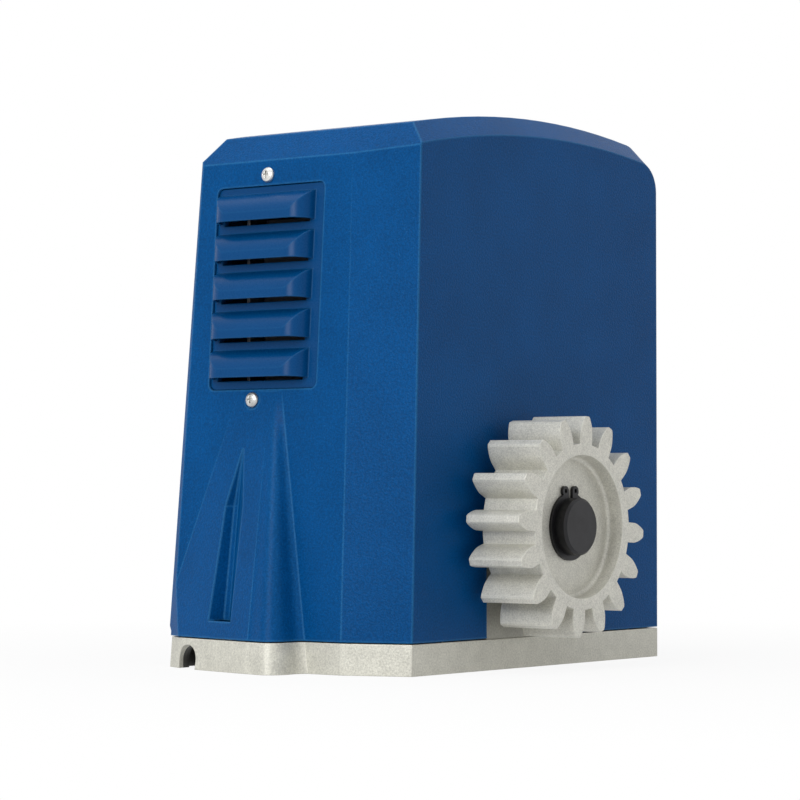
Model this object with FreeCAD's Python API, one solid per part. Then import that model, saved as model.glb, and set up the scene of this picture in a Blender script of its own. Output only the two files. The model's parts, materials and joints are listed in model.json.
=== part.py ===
"""Sliding gate motor: a worm-geared DC motor under a moulded cover, on a die-cast base.

Frame: millimetres, +Z up. The origin is the centre of the four anchor slots on the underside of the
base. The gate runs past the front, -Y, where the rack pinion stands. The vent end is -X.
The user's side, with the manual release, is +Y.
"""

import FreeCAD, Part
import math
import os

V = FreeCAD.Vector
X_AXIS, Y_AXIS, Z_AXIS = V(1, 0, 0), V(0, 1, 0), V(0, 0, 1)

# ---------------------------------------------------------------- clearances
GAP = 0.4              # between fixed pieces and pieces that pass them
RUNNING = 0.05         # radial clearance of a shaft in its bore
PLAY = 0.5             # play of the clutch dogs in their pockets

# ---------------------------------------------------------------- outline shared by base and cover
FRONT_Y = -72.0
RIGHT_X = 114.0
BACK_Y, BACK_TOP_Y = 72.0, 62.9        # on the ground and at REF_Z
CORNER_X, CORNER_TOP_X = -99.8, -92.1  # where the front meets the front corner facet
FACET_Y, FACET_TOP_Y = -38.3, -32.5    # where that facet meets the vent end
VENT_X, VENT_TOP_X = -111.8, -94.8     # vent end
BACK_FACET, BACK_FACET_TOP = (2.5, 4.7), (1.0, 1.5)
REF_Z = 250.0                          # height of the second figure of each pair above

# moulded bulge low on the vent end: part of its depth, y on the ground, y at its top
BULGE_DEPTH = 21.0
BULGE_NOSE = ((0.0, -18.5, 5.5), (0.12, -16.4, 6.6), (0.57, -15.2, 7.6), (0.88, -13.0, 8.8),
              (1.0, -9.3, 10.0), (0.98, -3.0, 11.4), (0.91, 5.0, 13.0))
BULGE_FLANK_Y = (84.0, 33.0)
# scoop in the bulge's flank: height, its two edges along Y, its depth
SCOOP = ((108.0, 26.2, 27.0, 0.3), (80.0, 22.2, 35.5, 5.0), (24.0, 21.0, 38.9, 9.0))

# ---------------------------------------------------------------- base casting
BASE_HEIGHT = 15.0
BASE_WALL, DECK = 5.0, 5.0
ANCHOR_X, ANCHOR_Y = 176.0, 104.0      # spacing of the anchor slots
ANCHOR_R, ANCHOR_LENGTH = 5.5, 18.0
ANCHOR_WALL = 4.5
CABLE_NOTCH_Y, CABLE_NOTCH_R, CABLE_NOTCH_H = 53.1, 7.8, 11.8
GROMMET_X, GROMMET_Y, GROMMET_R = -90.0, -2.0, 11.0

# ---------------------------------------------------------------- cover
COVER_GAP = 0.6                        # shadow line above the base
COVER_BOTTOM = BASE_HEIGHT + COVER_GAP
WALL = 3.0
OVERHANG = 2.1                         # the cover's back stands this far behind the base
STEP_UP = (2.2, 4.9)                   # the overhang starts between these heights above the cover's edge
ARCH_X, ARCH_R, TOP_Z = 25.0, 580.0, 275.0
BEVEL = 10.0                           # bevel along front and back of the arched top
END_BEVEL = (7.8, 13.5)                # bevel at the vent end, in and up
END_CORNER_R = 15.0                    # rounding at the far end of the arch
NOSE_R = 27.0                          # the gearbox nose in the cover's front notch
SPINDLE_SLOT = 7.0

# ---------------------------------------------------------------- vent panel, on the vent end
VENT_Y, VENT_Z = 18.5, 187.65
VENT_W, VENT_H = 68.0, 100.5
VENT_GAP, VENT_CORNER = 0.3, 3.0
PANEL_FRONT, FLANGE, FLANGE_T = 1.3, 6.0, 2.0
LOUVRES, LOUVRE_MARGIN = 5, 5.1        # margin below the lowest louvre
LOUVRE_PITCH = 0.193 * VENT_H
LOUVRE_ENDS = (6.0, 1.0)               # from the panel's edges to the hoods' ends
LOUVRE_OUT, LOUVRE_RISE, LOUVRE_SKIN = 10.5, 0.75 * LOUVRE_PITCH, 1.4
LOUVRE_MOUTH = (-1.0, 9.0)             # opening, from the lip
SCREW_R, SCREW_HEAD_R, SCREW_HEAD = 1.75, 3.75, 2.3
VENT_SCREW_Y, VENT_SCREW_OUT = (23.8, 20.2), 5.4   # below and above the panel, off its edge
TAB_END = 5.0                          # tab beyond its screw
BULGE_TOP = VENT_Z - VENT_H / 2 - 1.4

# ---------------------------------------------------------------- output shaft and pinion
SHAFT_X, SHAFT_Z = -12.0, 70.0
PINION_TEETH, PINION_MODULE = 16, 6.0
PRESSURE = math.radians(20)
PINION_TURN = 4.4                      # a tooth stands this far off the top
PINION_FRONT, PINION_FACE = -110.0, 31.0
DISH_R, DISH = 35.0, 8.6
SHAFT_R, SHOULDER_R, JOURNAL_R, TAIL_R = 14.0, 17.0, 15.0, 12.5
SHAFT_FRONT = PINION_FRONT + 0.6
CIRCLIP_T, CIRCLIP_R, CIRCLIP_GROOVE_R = 1.5, 16.6, 13.0
PINION_KEY = (8.0, 18.0)
FRONT_BEARING = (FRONT_Y + 10.0, 9.0, 23.5)    # first face, width, outer radius
OIL_SEAL = (FRONT_Y + 1.0, 7.0, 23.5)

# ---------------------------------------------------------------- worm gear
WHEEL_TEETH, WORM_MODULE, WORM_PITCH_R = 30, 2.5, 12.5
WORM_BACKLASH = 0.3
MOTOR_R, MOTOR_ROOM = 38.0, 3.0        # the motor above the worm, and its room to the cover
WHEEL_Y, WHEEL_FACE = FRONT_Y + WALL + MOTOR_ROOM + MOTOR_R, 22.0
WHEEL_HAND = -1
WHEEL_BORE = 18.0
WORM_LENGTH = 42.0
CENTRE_DISTANCE = WHEEL_TEETH * WORM_MODULE / 2 + WORM_PITCH_R
WORM_X, WORM_Y = SHAFT_X + CENTRE_DISTANCE, WHEEL_Y

# ---------------------------------------------------------------- gearbox
BOX_X, BOX_Z = (-59.0, 66.0), (BASE_HEIGHT, 117.0)
BOX_Y = (WHEEL_Y - 22.0, WHEEL_Y + 35.0)
BOX_ROUND = 6.0
CHAMBER_R, CHAMBER_FRONT = 42.0, BOX_Y[0] + 5.0
REAR_BEARING = (BOX_Y[1] + 2.5, 11.0, 23.5)
SHAFT_BACK = REAR_BEARING[0] + REAR_BEARING[1]
WORM_CHAMBER = (18.5, 34.0, 100.0)     # radius, bottom, top
NOSE_FRONT = FRONT_Y + 0.6
FEET_X = (-72.0, 77.8)
FOOT_T = 8.0
FOOT_BOLTS = ((-65.6, -40.0), (-65.6, -4.0), (72.6, -40.0), (72.6, -4.0))
GASKET = 0.5
LID_T, LID_MARGIN = 6.0, 2.0
LID_SCREWS = ((-52.0, 23.0), (-52.0, 110.0), (24.0, 110.5), (59.0, 110.0), (59.0, 23.0), (26.0, 23.0))
PLUG_Y, PLUG_Z = -20.0, 85.0

# ---------------------------------------------------------------- motor, upright on the gearbox
ROTOR_R, ROTOR_TOP_R = 6.0, 5.0
ROTOR_LOW = BOX_Z[0] + 9.0
LOW_BEARING = (26.0, 8.0, 14.0)
MID_BEARING = (104.0, 10.0, 16.0)
YOKE_WALL, MAGNET_T, AIR_GAP = 4.0, 4.2, 1.2
MOTOR_SEAT, YOKE_TOP = BOX_Z[1] + 5.0, 200.0
YOKE_LOW, MOTOR_TOP = MOTOR_SEAT + 8.0, YOKE_TOP + 18.0
TOP_BEARING = (MOTOR_TOP - 5.0, 8.0, 13.0)
MAGNET_IN = MOTOR_R - YOKE_WALL - MAGNET_T
CORE_R, CORE_Z = MAGNET_IN - AIR_GAP, (YOKE_LOW + 8.0, YOKE_TOP - 14.0)
SLOTS, SLOT_W, SLOT_IN = 10, 5.0, 15.0
COMMUTATOR_R, COMMUTATOR_Z = 12.0, (YOKE_TOP - 6.0, YOKE_TOP + 10.0)
BOLT_OFF = MOTOR_R + 5.0               # motor bolts either side of the axis
ENCODER_R, ENCODER_Z = 15.0, MOTOR_TOP + 11.0
ROTOR_TOP = MOTOR_TOP + 18.0

# ---------------------------------------------------------------- clutch and manual release
COLLAR_R, COLLAR_Y = 23.0, (WHEEL_Y + 12.5, WHEEL_Y + 25.5)
DOGS, DOG_LENGTH, DOG_HALF, DOG_IN, DOG_OUT = 4, 5.0, 3.6, 19.4, 22.6
GROOVE_R, GROOVE_W, GROOVE_Y = 19.0, 4.4, WHEEL_Y + 20.4
TRAVEL, RELEASE_TURN = 6.0, 90.0
SPINDLE_Z = SHAFT_Z - 33.0
SPINDLE_R, DRUM_R, DRUM_Y = 6.0, 8.0, (WHEEL_Y + 14.0, BOX_Y[1] - 1.5)
PIN_R, DRUM_GROOVE_R, DRUM_GROOVE = 2.2, 2.6, 2.7
FORK_R, FORK_T = 24.0, 3.6
GUIDE_X, GUIDE_R = SHAFT_X - 33.5, 3.0
HUB_FACE, HUB_R, HUB_T = BACK_Y + OVERHANG + 0.4, 12.0, 12.5
HANDLE_LENGTH, HANDLE_T = 54.0, 9.0
HUB_Y = (HUB_FACE, HUB_FACE + HUB_T)
LOCK_R, LOCK_Y = 7.0, HUB_FACE + 5.0

# ---------------------------------------------------------------- electronics
BRACKET_Y, SHEET = 40.0, 2.0
BRACKET_X, BRACKET_TOP = (-86.0, 95.0), 225.0
BATTERY_X, BATTERY_Y, BATTERY_H = (-86.0, -16.0), (-58.0, 32.0), 101.0
BOARD_X, BOARD_Z, BOARD_T, STANDOFF = (-74.0, 66.0), (104.0, 216.0), 1.6, 3.0
SUPPLY_X, SUPPLY_Z, SUPPLY_T = (22.0, 76.0), (44.0, 96.0), 20.0


# ================================================================ solids

def box(x0, x1, y0, y1, z0, z1):
    return Part.makeBox(x1 - x0, y1 - y0, z1 - z0, V(x0, y0, z0))


def rounded_box(x0, x1, y0, y1, z0, z1, r, along):
    """Block with its four edges along one direction rounded."""
    block = box(x0, x1, y0, y1, z0, z1)
    edges = [e for e in block.Edges if abs(e.tangentAt(e.FirstParameter).dot(along)) > 0.99]
    return block.makeFillet(r, edges)


def rod_x(y, z, x0, x1, r):
    return Part.makeCylinder(r, x1 - x0, V(x0, y, z), X_AXIS)


def tube_y(x, z, y0, y1, r, bore=0.0):
    """Rod or tube along Y."""
    rod = Part.makeCylinder(r, y1 - y0, V(x, y0, z), Y_AXIS)
    return rod.cut(Part.makeCylinder(bore, y1 - y0, V(x, y0, z), Y_AXIS)) if bore else rod


def tube_z(x, y, z0, z1, r, bore=0.0):
    """Rod or tube along Z."""
    rod = Part.makeCylinder(r, z1 - z0, V(x, y, z0), Z_AXIS)
    return rod.cut(Part.makeCylinder(bore, z1 - z0, V(x, y, z0), Z_AXIS)) if bore else rod


def turned(points, centre, axis):
    """Solid of revolution: points are (along the axis, radius), from first to last round the section."""
    across = X_AXIS
    corners = [centre + axis * a + across * r for a, r in points]
    return Part.Face(Part.makePolygon(corners + [corners[0]])).revolve(centre, axis, 360)


def stepped(steps, centre, axis, chamfer=0.0):
    """Turned shaft: steps are (start, end, radius), joined end to end; both ends are chamfered."""
    points = [(steps[0][0], 0.0)]
    for n, (start, end, radius) in enumerate(steps):
        if n == 0 and chamfer:
            points += [(start, radius - chamfer), (start + chamfer, radius)]
        else:
            points.append((start, radius))
        if n == len(steps) - 1 and chamfer:
            points += [(end - chamfer, radius), (end, radius - chamfer)]
        else:
            points.append((end, radius))
    points.append((steps[-1][1], 0.0))
    return turned(points, centre, axis)


def prism(points, along):
    """Solid swept from a closed polygon by the vector along."""
    return Part.Face(Part.makePolygon(list(points) + [points[0]])).extrude(along)


def fuse(first, *others):
    return first.fuse(list(others)).removeSplitter()


def save(node, *shapes):
    """Writes a node made of one or more separate solids."""
    found = [s for shape in shapes for s in shape.Solids]
    whole = found[0] if len(found) == 1 else Part.Compound(found)
    whole.exportStep(f"parts/{node}.step")
    sound = all(s.isValid() and s.Volume > 0 for s in found)
    print(f"{node:26s} {len(found):3d} solids {whole.Volume:12.0f} mm3 {'' if sound else 'NOT SOUND'}")


def bolt(x, y, z0, z1, r, head_r, head, socket=True):
    """Upright screw, head at z1 and up."""
    shank = tube_z(x, y, z0, z1, r)
    cap = Part.makeCylinder(head_r, head, V(x, y, z1))
    top = [e for e in cap.Edges if abs(e.CenterOfMass.z - z1 - head) < 1e-6]
    screw = fuse(shank, cap.makeChamfer(0.12 * head_r, top))
    return screw.cut(hexagon(x, y, z1 + 0.4 * head, 0.5 * head_r, head)) if socket else screw


def hexagon(x, y, z, r, height):
    corners = [V(x + r * math.cos(math.radians(60 * k)), y + r * math.sin(math.radians(60 * k)), z)
               for k in range(6)]
    return prism(corners, V(0, 0, height))


def bolt_y(x, z, y0, y1, r, head_r, head):
    """Screw along Y, head at y1 and beyond."""
    screw = bolt(0, 0, y0, y1, r, head_r, head)
    screw.rotate(V(0, 0, 0), X_AXIS, -90)
    screw.translate(V(x, 0, z))
    return screw


# ================================================================ gears

def involute_point(base_r, radius, side, offset):
    """Point of an involute flank at a radius, turned by offset."""
    roll = math.sqrt(max((radius / base_r) ** 2 - 1, 0))
    angle = roll - math.atan(roll)
    angle = offset - side * angle
    return radius * math.cos(angle), radius * math.sin(angle)


def spline(points):
    """Smooth edge through the points."""
    curve = Part.BSplineCurve()
    curve.interpolate(points)
    return curve.toShape()


def gear_wire(teeth, module, addendum, dedendum, backlash, phase, place, tip_round=0.0):
    """Closed outline of an involute gear. place(x, y) puts a point of the drawing into space."""
    pitch_r = teeth * module / 2
    base_r = pitch_r * math.cos(PRESSURE)
    tip_r, root_r = pitch_r + addendum, pitch_r - dedendum
    start_r = max(base_r, root_r + 0.3 * module)
    inv = math.tan(PRESSURE) - PRESSURE
    half = math.pi / (2 * teeth) - backlash / (2 * pitch_r) + inv
    flank_top = tip_r - tip_round
    radii = [start_r + (flank_top - start_r) * k / 4 for k in range(5)]
    root_half = half + 0.06 / module
    edges = []
    step = 2 * math.pi / teeth

    def at(radius, angle):
        return place(radius * math.cos(angle), radius * math.sin(angle))

    for n in range(teeth):
        mid = phase + n * step
        low = [place(*involute_point(base_r, r, -1, mid - half)) for r in radii]
        high = [place(*involute_point(base_r, r, 1, mid + half)) for r in reversed(radii)]
        a_tip = math.atan2(*reversed(involute_point(base_r, flank_top, -1, -half)))
        inset = tip_round / tip_r
        edges.append(Part.makeLine(at(root_r, mid - root_half), low[0]))
        edges.append(spline(low))
        if tip_round:
            edges.append(Part.makeLine(low[-1], at(tip_r, mid + a_tip + inset)))
            edges.append(Part.Arc(at(tip_r, mid + a_tip + inset), at(tip_r, mid),
                                  at(tip_r, mid - a_tip - inset)).toShape())
            edges.append(Part.makeLine(at(tip_r, mid - a_tip - inset), high[0]))
        else:
            edges.append(Part.Arc(low[-1], at(tip_r, mid), high[0]).toShape())
        edges.append(spline(high))
        edges.append(Part.makeLine(high[-1], at(root_r, mid + root_half)))
        edges.append(Part.Arc(at(root_r, mid + root_half), at(root_r, mid + step / 2),
                              at(root_r, mid + step - root_half)).toShape())
    return Part.Wire(edges)


def pinion():
    """Cast rack pinion: sixteen module 6 teeth, a dished front and a bore with a keyway."""
    def place(x, y):
        return V(SHAFT_X + x, PINION_FRONT, SHAFT_Z + y)

    phase = math.radians(90 - PINION_TURN)
    teeth = gear_wire(PINION_TEETH, PINION_MODULE, PINION_MODULE, 1.25 * PINION_MODULE, 0.3,
                      phase, place, tip_round=0.8)
    body = Part.Face(teeth).extrude(V(0, PINION_FACE, 0))
    floor = PINION_FRONT + DISH
    dish = tube_y(SHAFT_X, SHAFT_Z, PINION_FRONT - 1, floor, DISH_R)
    rim = [e for e in dish.Edges if abs(e.CenterOfMass.y - floor) < 0.01 and e.Length > 100]
    dish = dish.makeFillet(2.0, rim)
    bore = tube_y(SHAFT_X, SHAFT_Z, PINION_FRONT - 1, PINION_FRONT + PINION_FACE + 1, SHAFT_R + RUNNING)
    return body.cut([dish, bore, pinion_key(0.1)])


def pinion_key(play=0.0):
    """Parallel key on top of the shaft, grown by play."""
    width, length = PINION_KEY
    half, y = width / 2 + play, PINION_FRONT + DISH + 6.0
    return box(SHAFT_X - half, SHAFT_X + half, y - play, y + length + play,
               SHAFT_Z + SHAFT_R - 3.5 - play, SHAFT_Z + SHAFT_R + 2.8 + play)


def worm_wheel():
    """Bronze wheel of thirty helical teeth on a hub, with pockets in its back for the clutch dogs."""
    lead = math.atan(WORM_MODULE / 2 / WORM_PITCH_R)
    pitch_r = WHEEL_TEETH * WORM_MODULE / 2
    twist = WHEEL_FACE * math.tan(lead) / pitch_r
    sections = []
    gap_at_worm = math.pi / WHEEL_TEETH
    for side in (-1, 1):
        y = WHEEL_Y + side * WHEEL_FACE / 2

        def place(u, v, y=y):
            return V(SHAFT_X + u, y, SHAFT_Z + v)

        sections.append(gear_wire(WHEEL_TEETH, WORM_MODULE, WORM_MODULE * 0.95, WORM_MODULE * 1.25,
                                  WORM_BACKLASH, gap_at_worm + WHEEL_HAND * side * twist / 2, place))
    wheel = Part.makeLoft(sections, True, True)
    low, high = WHEEL_Y - WHEEL_FACE / 2, WHEEL_Y + WHEEL_FACE / 2
    web = 4.0
    rings = [tube_y(SHAFT_X, SHAFT_Z, low - 1, low + web, 31.0, 22.0)]
    wheel = wheel.cut(rings + [tube_y(SHAFT_X, SHAFT_Z, low - 1, high + 1, WHEEL_BORE)])
    return wheel.cut([dog(n, high - DOG_LENGTH - 0.4, high + 1, PLAY) for n in range(DOGS)])


def dog(n, y0, y1, play=0.0):
    """One dog of the clutch, a block between two radii, grown by play."""
    half = DOG_HALF + play
    block = box(SHAFT_X + DOG_IN - play, SHAFT_X + DOG_OUT + play, y0, y1, SHAFT_Z - half, SHAFT_Z + half)
    block.rotate(V(SHAFT_X, 0, SHAFT_Z), Y_AXIS, 45 + 360.0 * n / DOGS)
    return block


def worm():
    """Single-start worm: a helical thread of trapezoid section swept on its core."""
    pitch = math.pi * WORM_MODULE
    tip_r = WORM_PITCH_R + 0.95 * WORM_MODULE
    root_r = WORM_PITCH_R - 1.2 * WORM_MODULE
    half_pitch_t = (pitch / 2 - WORM_BACKLASH) / 2
    slope = math.tan(PRESSURE)
    half_tip = half_pitch_t - (tip_r - WORM_PITCH_R) * slope
    inside = root_r - 0.6
    half_root = half_pitch_t + (WORM_PITCH_R - inside) * slope
    turns = math.ceil(WORM_LENGTH / pitch) + 3
    height = turns * pitch
    helix = Part.makeHelix(pitch, height, WORM_PITCH_R)
    profile = Part.makePolygon([V(inside, 0, -half_root), V(tip_r, 0, -half_tip), V(tip_r, 0, half_tip),
                                V(inside, 0, half_root), V(inside, 0, -half_root)])
    thread = Part.Wire(helix.Edges).makePipeShell([profile], True, True)
    thread.translate(V(0, 0, -pitch * round(turns / 2)))
    thread.rotate(V(0, 0, 0), Z_AXIS, 180)
    thread.translate(V(WORM_X, WORM_Y, SHAFT_Z))
    low, high = SHAFT_Z - WORM_LENGTH / 2, SHAFT_Z + WORM_LENGTH / 2
    blank = tube_z(WORM_X, WORM_Y, low, high, tip_r + 0.01)
    ends = [e for e in blank.Edges if abs(e.Length - 2 * math.pi * (tip_r + 0.01)) < 0.5]
    blank = blank.makeChamfer(2.5, ends)
    core = tube_z(WORM_X, WORM_Y, low, high, root_r)
    body = thread.common(blank).fuse(core)
    return body.cut(tube_z(WORM_X, WORM_Y, low - 1, high + 1, ROTOR_R))


# ================================================================ outline of base and cover

def between(z, low, high):
    """Figure at a height, from its value on the ground and at REF_Z."""
    return low + (high - low) * z / REF_Z


def vent_x(z):
    return between(z, VENT_X, VENT_TOP_X)


def outline(z, inset=0.0, overhang=0.0):
    """Six corners of the plan, without the bulge, at a height."""
    left, back = vent_x(z) + inset, between(z, BACK_Y, BACK_TOP_Y) + overhang - inset
    in_x = between(z, BACK_FACET[0], BACK_FACET_TOP[0])
    in_y = between(z, BACK_FACET[1], BACK_FACET_TOP[1])
    return [V(RIGHT_X - inset, FRONT_Y + inset, z),
            V(between(z, CORNER_X, CORNER_TOP_X) + 0.9 * inset, FRONT_Y + inset, z),
            V(left, between(z, FACET_Y, FACET_TOP_Y) + 0.1 * inset, z),
            V(left, back - in_y, z),
            V(left + in_x, back, z),
            V(RIGHT_X - inset, back, z)]


def ruled(*sections):
    return Part.makeLoft(list(sections), True, True)


def closed(points):
    return Part.makePolygon(points + [points[0]])


def block(z0, z1, inset=0.0, overhang=0.0):
    return ruled(closed(outline(z0, inset, overhang)), closed(outline(z1, inset, overhang)))


def bulge_ends(z, inset):
    """Plan of the bulge at a height: points of its nose, and where its flank meets the vent end."""
    grow = max((BULGE_TOP - z) / BULGE_TOP, 0.0)
    wall = vent_x(z) + inset
    nose = [V(wall - BULGE_DEPTH * part * grow, top + (low - top) * grow + 0.8 * inset, z)
            for part, low, top in BULGE_NOSE]
    low, top = BULGE_FLANK_Y
    return nose, V(wall, top + (low - top) * grow - inset, z)


def bulge_wire(z, inset):
    """Section of the bulge: a curved nose, a straight flank and a back inside the vent end."""
    nose, flank = bulge_ends(z, inset)
    deep = V(2.5, 0, 0)
    rear = [nose[-1], flank, V(flank.x, flank.y, z) + deep, V(flank.x, nose[0].y, z) + deep, nose[0]]
    return Part.Wire([spline(nose)] + [Part.makeLine(p, q) for p, q in zip(rear, rear[1:])])


def corner_clip(z, inset, overhang):
    """Plan region in front of the back and of its corner facet."""
    points = outline(z, inset, overhang)
    side, back = points[3], points[4]
    slope = (back.y - side.y) / (back.x - side.x)
    out = VENT_X - 40
    far = V(out, side.y + slope * (out - side.x), z)
    return closed([V(out, FRONT_Y - 20, z), V(0, FRONT_Y - 20, z), V(0, back.y, z), back, far])


def bulge(z0, z1, inset=0.0, overhang=0.0):
    swollen = ruled(bulge_wire(z0, inset), bulge_wire(z1, inset))
    return swollen.common(ruled(corner_clip(z0, inset, overhang), corner_clip(z1, inset, overhang)))


def scoop(inset):
    """Tapered hollow in the bulge's flank, steep on its far side, or the material that backs it."""
    sections = []
    for z, near, far, depth in SCOOP:
        nose, flank = bulge_ends(z, 0.0)
        along = flank - nose[-1]
        inward = V(along.y, -along.x, 0).normalize()

        def at(y, deep):
            return nose[-1] + along * ((y - nose[-1].y) / along.y) + inward * deep

        near, far, depth = near - inset, far + inset, depth + inset
        width = far - near
        corners = [at(near, 0), at(near + 0.45 * width, 0.72 * depth), at(near + 0.72 * width, depth),
                   at(far - 0.1 * width, 0.9 * depth), at(far, 0)]
        outside = at(far, -4), at(near, -4)
        rim = [corners[-1], *outside, corners[0]]
        sections.append(Part.Wire([Part.makeLine(p, q) for p, q in zip(corners + rim[1:], corners[1:] + rim[1:])]))
    return ruled(*sections)


# ================================================================ base

def slot(x, y, z0, z1, r, length):
    """Upright slot along Y."""
    half = length / 2 - r
    return fuse(tube_z(x, y - half, z0, z1, r), tube_z(x, y + half, z0, z1, r),
                box(x - r, x + r, y - half, y + half, z0, z1))


def anchors():
    return [(sx * ANCHOR_X / 2, sy * ANCHOR_Y / 2) for sx in (-1, 1) for sy in (-1, 1)]


def base_plate():
    """Die-cast tray, open below, with a deck, anchor slots, ribs and an arched cable notch."""
    skirt = block(0, BASE_HEIGHT).fuse(bulge(0, BASE_HEIGHT))
    under = BASE_HEIGHT - DECK
    hollow = fuse(block(-1, under, BASE_WALL), bulge(-1, under, BASE_WALL))
    bosses = [slot(x, y, 0, under + 1, ANCHOR_R + ANCHOR_WALL, ANCHOR_LENGTH + 2 * ANCHOR_WALL)
              for x, y in anchors()]
    bosses += [tube_z(x, y, 0, under + 1, 7.0) for x, y in (*FOOT_BOLTS, (0, 0))]
    ribs = [box(VENT_X + 6, RIGHT_X - 4, y - 1.5, y + 1.5, 2, under + 1) for y in (-28, 22)]
    ribs += [box(x - 1.5, x + 1.5, FRONT_Y + 4, BACK_Y - 4.5, 2, under + 1) for x in (-48, 0, 48)]
    hollow = hollow.cut(bosses + ribs)
    casting = skirt.cut(hollow)
    holes = [slot(x, y, -1, BASE_HEIGHT + 1, ANCHOR_R, ANCHOR_LENGTH) for x, y in anchors()]
    holes += [tube_z(x, y, -1, BASE_HEIGHT + 1, 4.0) for x, y in FOOT_BOLTS]
    holes += [tube_z(x, y, BASE_HEIGHT - DECK - 1, BASE_HEIGHT + 1, 2.5) for x, y in bracket_screw_places()]
    holes += [tube_z(GROMMET_X, GROMMET_Y, -1, BASE_HEIGHT + 1, GROMMET_R)]
    notch = CABLE_NOTCH_H - CABLE_NOTCH_R
    out, into = VENT_X - 20, VENT_X + 12
    holes += [rod_x(CABLE_NOTCH_Y, notch, out, into, CABLE_NOTCH_R),
              box(out, into, CABLE_NOTCH_Y - CABLE_NOTCH_R, CABLE_NOTCH_Y + CABLE_NOTCH_R, -1, notch)]
    casting = casting.cut(holes)
    half = SPINDLE_SLOT - GAP
    tongue = box(SHAFT_X - half, SHAFT_X + half, BACK_Y - 4.2, BACK_Y - 1.2, BASE_HEIGHT - 1, SPINDLE_Z - 8)
    return fuse(casting, tongue)


def cable_grommet():
    lip = 2.0
    z0, z1 = BASE_HEIGHT - DECK, BASE_HEIGHT
    r = GROMMET_R
    return turned([(z0 - lip, 7.0), (z0 - lip, r + 2), (z0, r + 2), (z0, r), (z1, r), (z1, r + 2),
                   (z1 + lip, r + 2), (z1 + lip, 7.0)], V(GROMMET_X, GROMMET_Y, 0), Z_AXIS)


# ================================================================ cover

def arch_wire(y, drop, inset):
    """Section of the arched top: everything below the arch, lowered by drop."""
    top, right, left = TOP_Z - inset - drop, RIGHT_X - inset, VENT_X - 30
    r, big = END_CORNER_R - inset, ARCH_R - inset

    def arch(x):
        return top - big + math.sqrt(big ** 2 - (x - ARCH_X) ** 2)

    centre_x = right - r
    centre_z = top - big + math.sqrt((big - r) ** 2 - (centre_x - ARCH_X) ** 2)
    away = math.atan2(centre_z - (top - big), centre_x - ARCH_X)
    meet = V(centre_x + r * math.cos(away), y, centre_z + r * math.sin(away))
    mid = away / 2
    knee = V(centre_x + r * math.cos(mid), y, centre_z + r * math.sin(mid))
    side = V(right, y, centre_z)
    return Part.Wire([Part.Arc(V(left, y, arch(left)), V(ARCH_X - 40, y, arch(ARCH_X - 40)), meet).toShape(),
                      Part.Arc(meet, knee, side).toShape(),
                      Part.makeLine(side, V(right, y, -TOP_Z)),
                      Part.makeLine(V(right, y, -TOP_Z), V(left, y, -TOP_Z)),
                      Part.makeLine(V(left, y, -TOP_Z), V(left, y, arch(left)))])


def cover_block(inset=0.0):
    """The cover as a full solid: drafted sides, arched top, bevels all round and the bulge."""
    z0, z1 = (COVER_BOTTOM if not inset else COVER_BOTTOM - 5), TOP_Z + 15
    body = block(z0, z1, inset, OVERHANG)
    bevel = BEVEL - 0.586 * inset
    front, back = FRONT_Y + inset, BACK_TOP_Y + OVERHANG - 0.3 - inset
    over = Part.Face(arch_wire(FRONT_Y - 18, 0, inset)).extrude(V(0, BACK_Y - FRONT_Y + 36, 0))
    slope = Part.Face(arch_wire(front - 5, bevel + 5, inset)).extrude(V(0, TOP_Z, TOP_Z))
    rear = Part.Face(arch_wire(back + 10, bevel + 10, inset)).extrude(V(0, -TOP_Z, TOP_Z))
    body = body.common(over).common(slope).common(rear)
    run, rise = END_BEVEL
    low = REF_Z + 0.6 - 0.55 * inset
    side, corner = outline(low, inset)[2], outline(low + 1.8, inset)[1]
    for start, end in ((V(side.x, TOP_Z, low), V(side.x, -TOP_Z, low)), (side, corner)):
        along = (end - start).normalize()
        start, end = start - along * 60, end + along * 120
        up, out = V(run, 0, rise) * 4, V(-80, 0, 0)
        body = body.cut(prism([start, start + up, start + up + out, start + out], end - start))
    swell = bulge(z0, BULGE_TOP, inset, OVERHANG)
    if inset:
        return body.fuse(swell.cut(scoop(inset)))
    head = BACK_Y + 2 * OVERHANG
    low, high = (COVER_BOTTOM + z for z in STEP_UP)
    foot = between(low, BACK_Y, BACK_TOP_Y)
    step = prism([V(VENT_X - 40, y, z) for y, z in ((foot, z0 - 1), (foot, low), (foot + OVERHANG, high),
                                                    (head, high), (head, z0 - 1))],
                 V(RIGHT_X - VENT_X + 80, 0, 0))
    return body.fuse(swell).cut([scoop(0.0), step])


def on_vent(shape):
    """Puts a piece drawn upright about the panel's height onto the sloping vent end."""
    placed = shape.copy()
    placed.rotate(V(0, 0, 0), Y_AXIS, math.degrees(math.atan2(VENT_TOP_X - VENT_X, REF_Z)))
    placed.translate(V(vent_x(VENT_Z), 0, VENT_Z))
    return placed


def rounded_plate(x0, x1, grow, r):
    """Plate over the vent opening, larger than the panel by grow."""
    half_w, half_h = VENT_W / 2 + grow, VENT_H / 2 + grow
    return rounded_box(x0, x1, VENT_Y - half_w, VENT_Y + half_w, -half_h, half_h, r, X_AXIS)


def vent_screw_places():
    off = VENT_H / 2 + VENT_SCREW_OUT
    return list(zip(VENT_SCREW_Y, (-off, off)))


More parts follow.
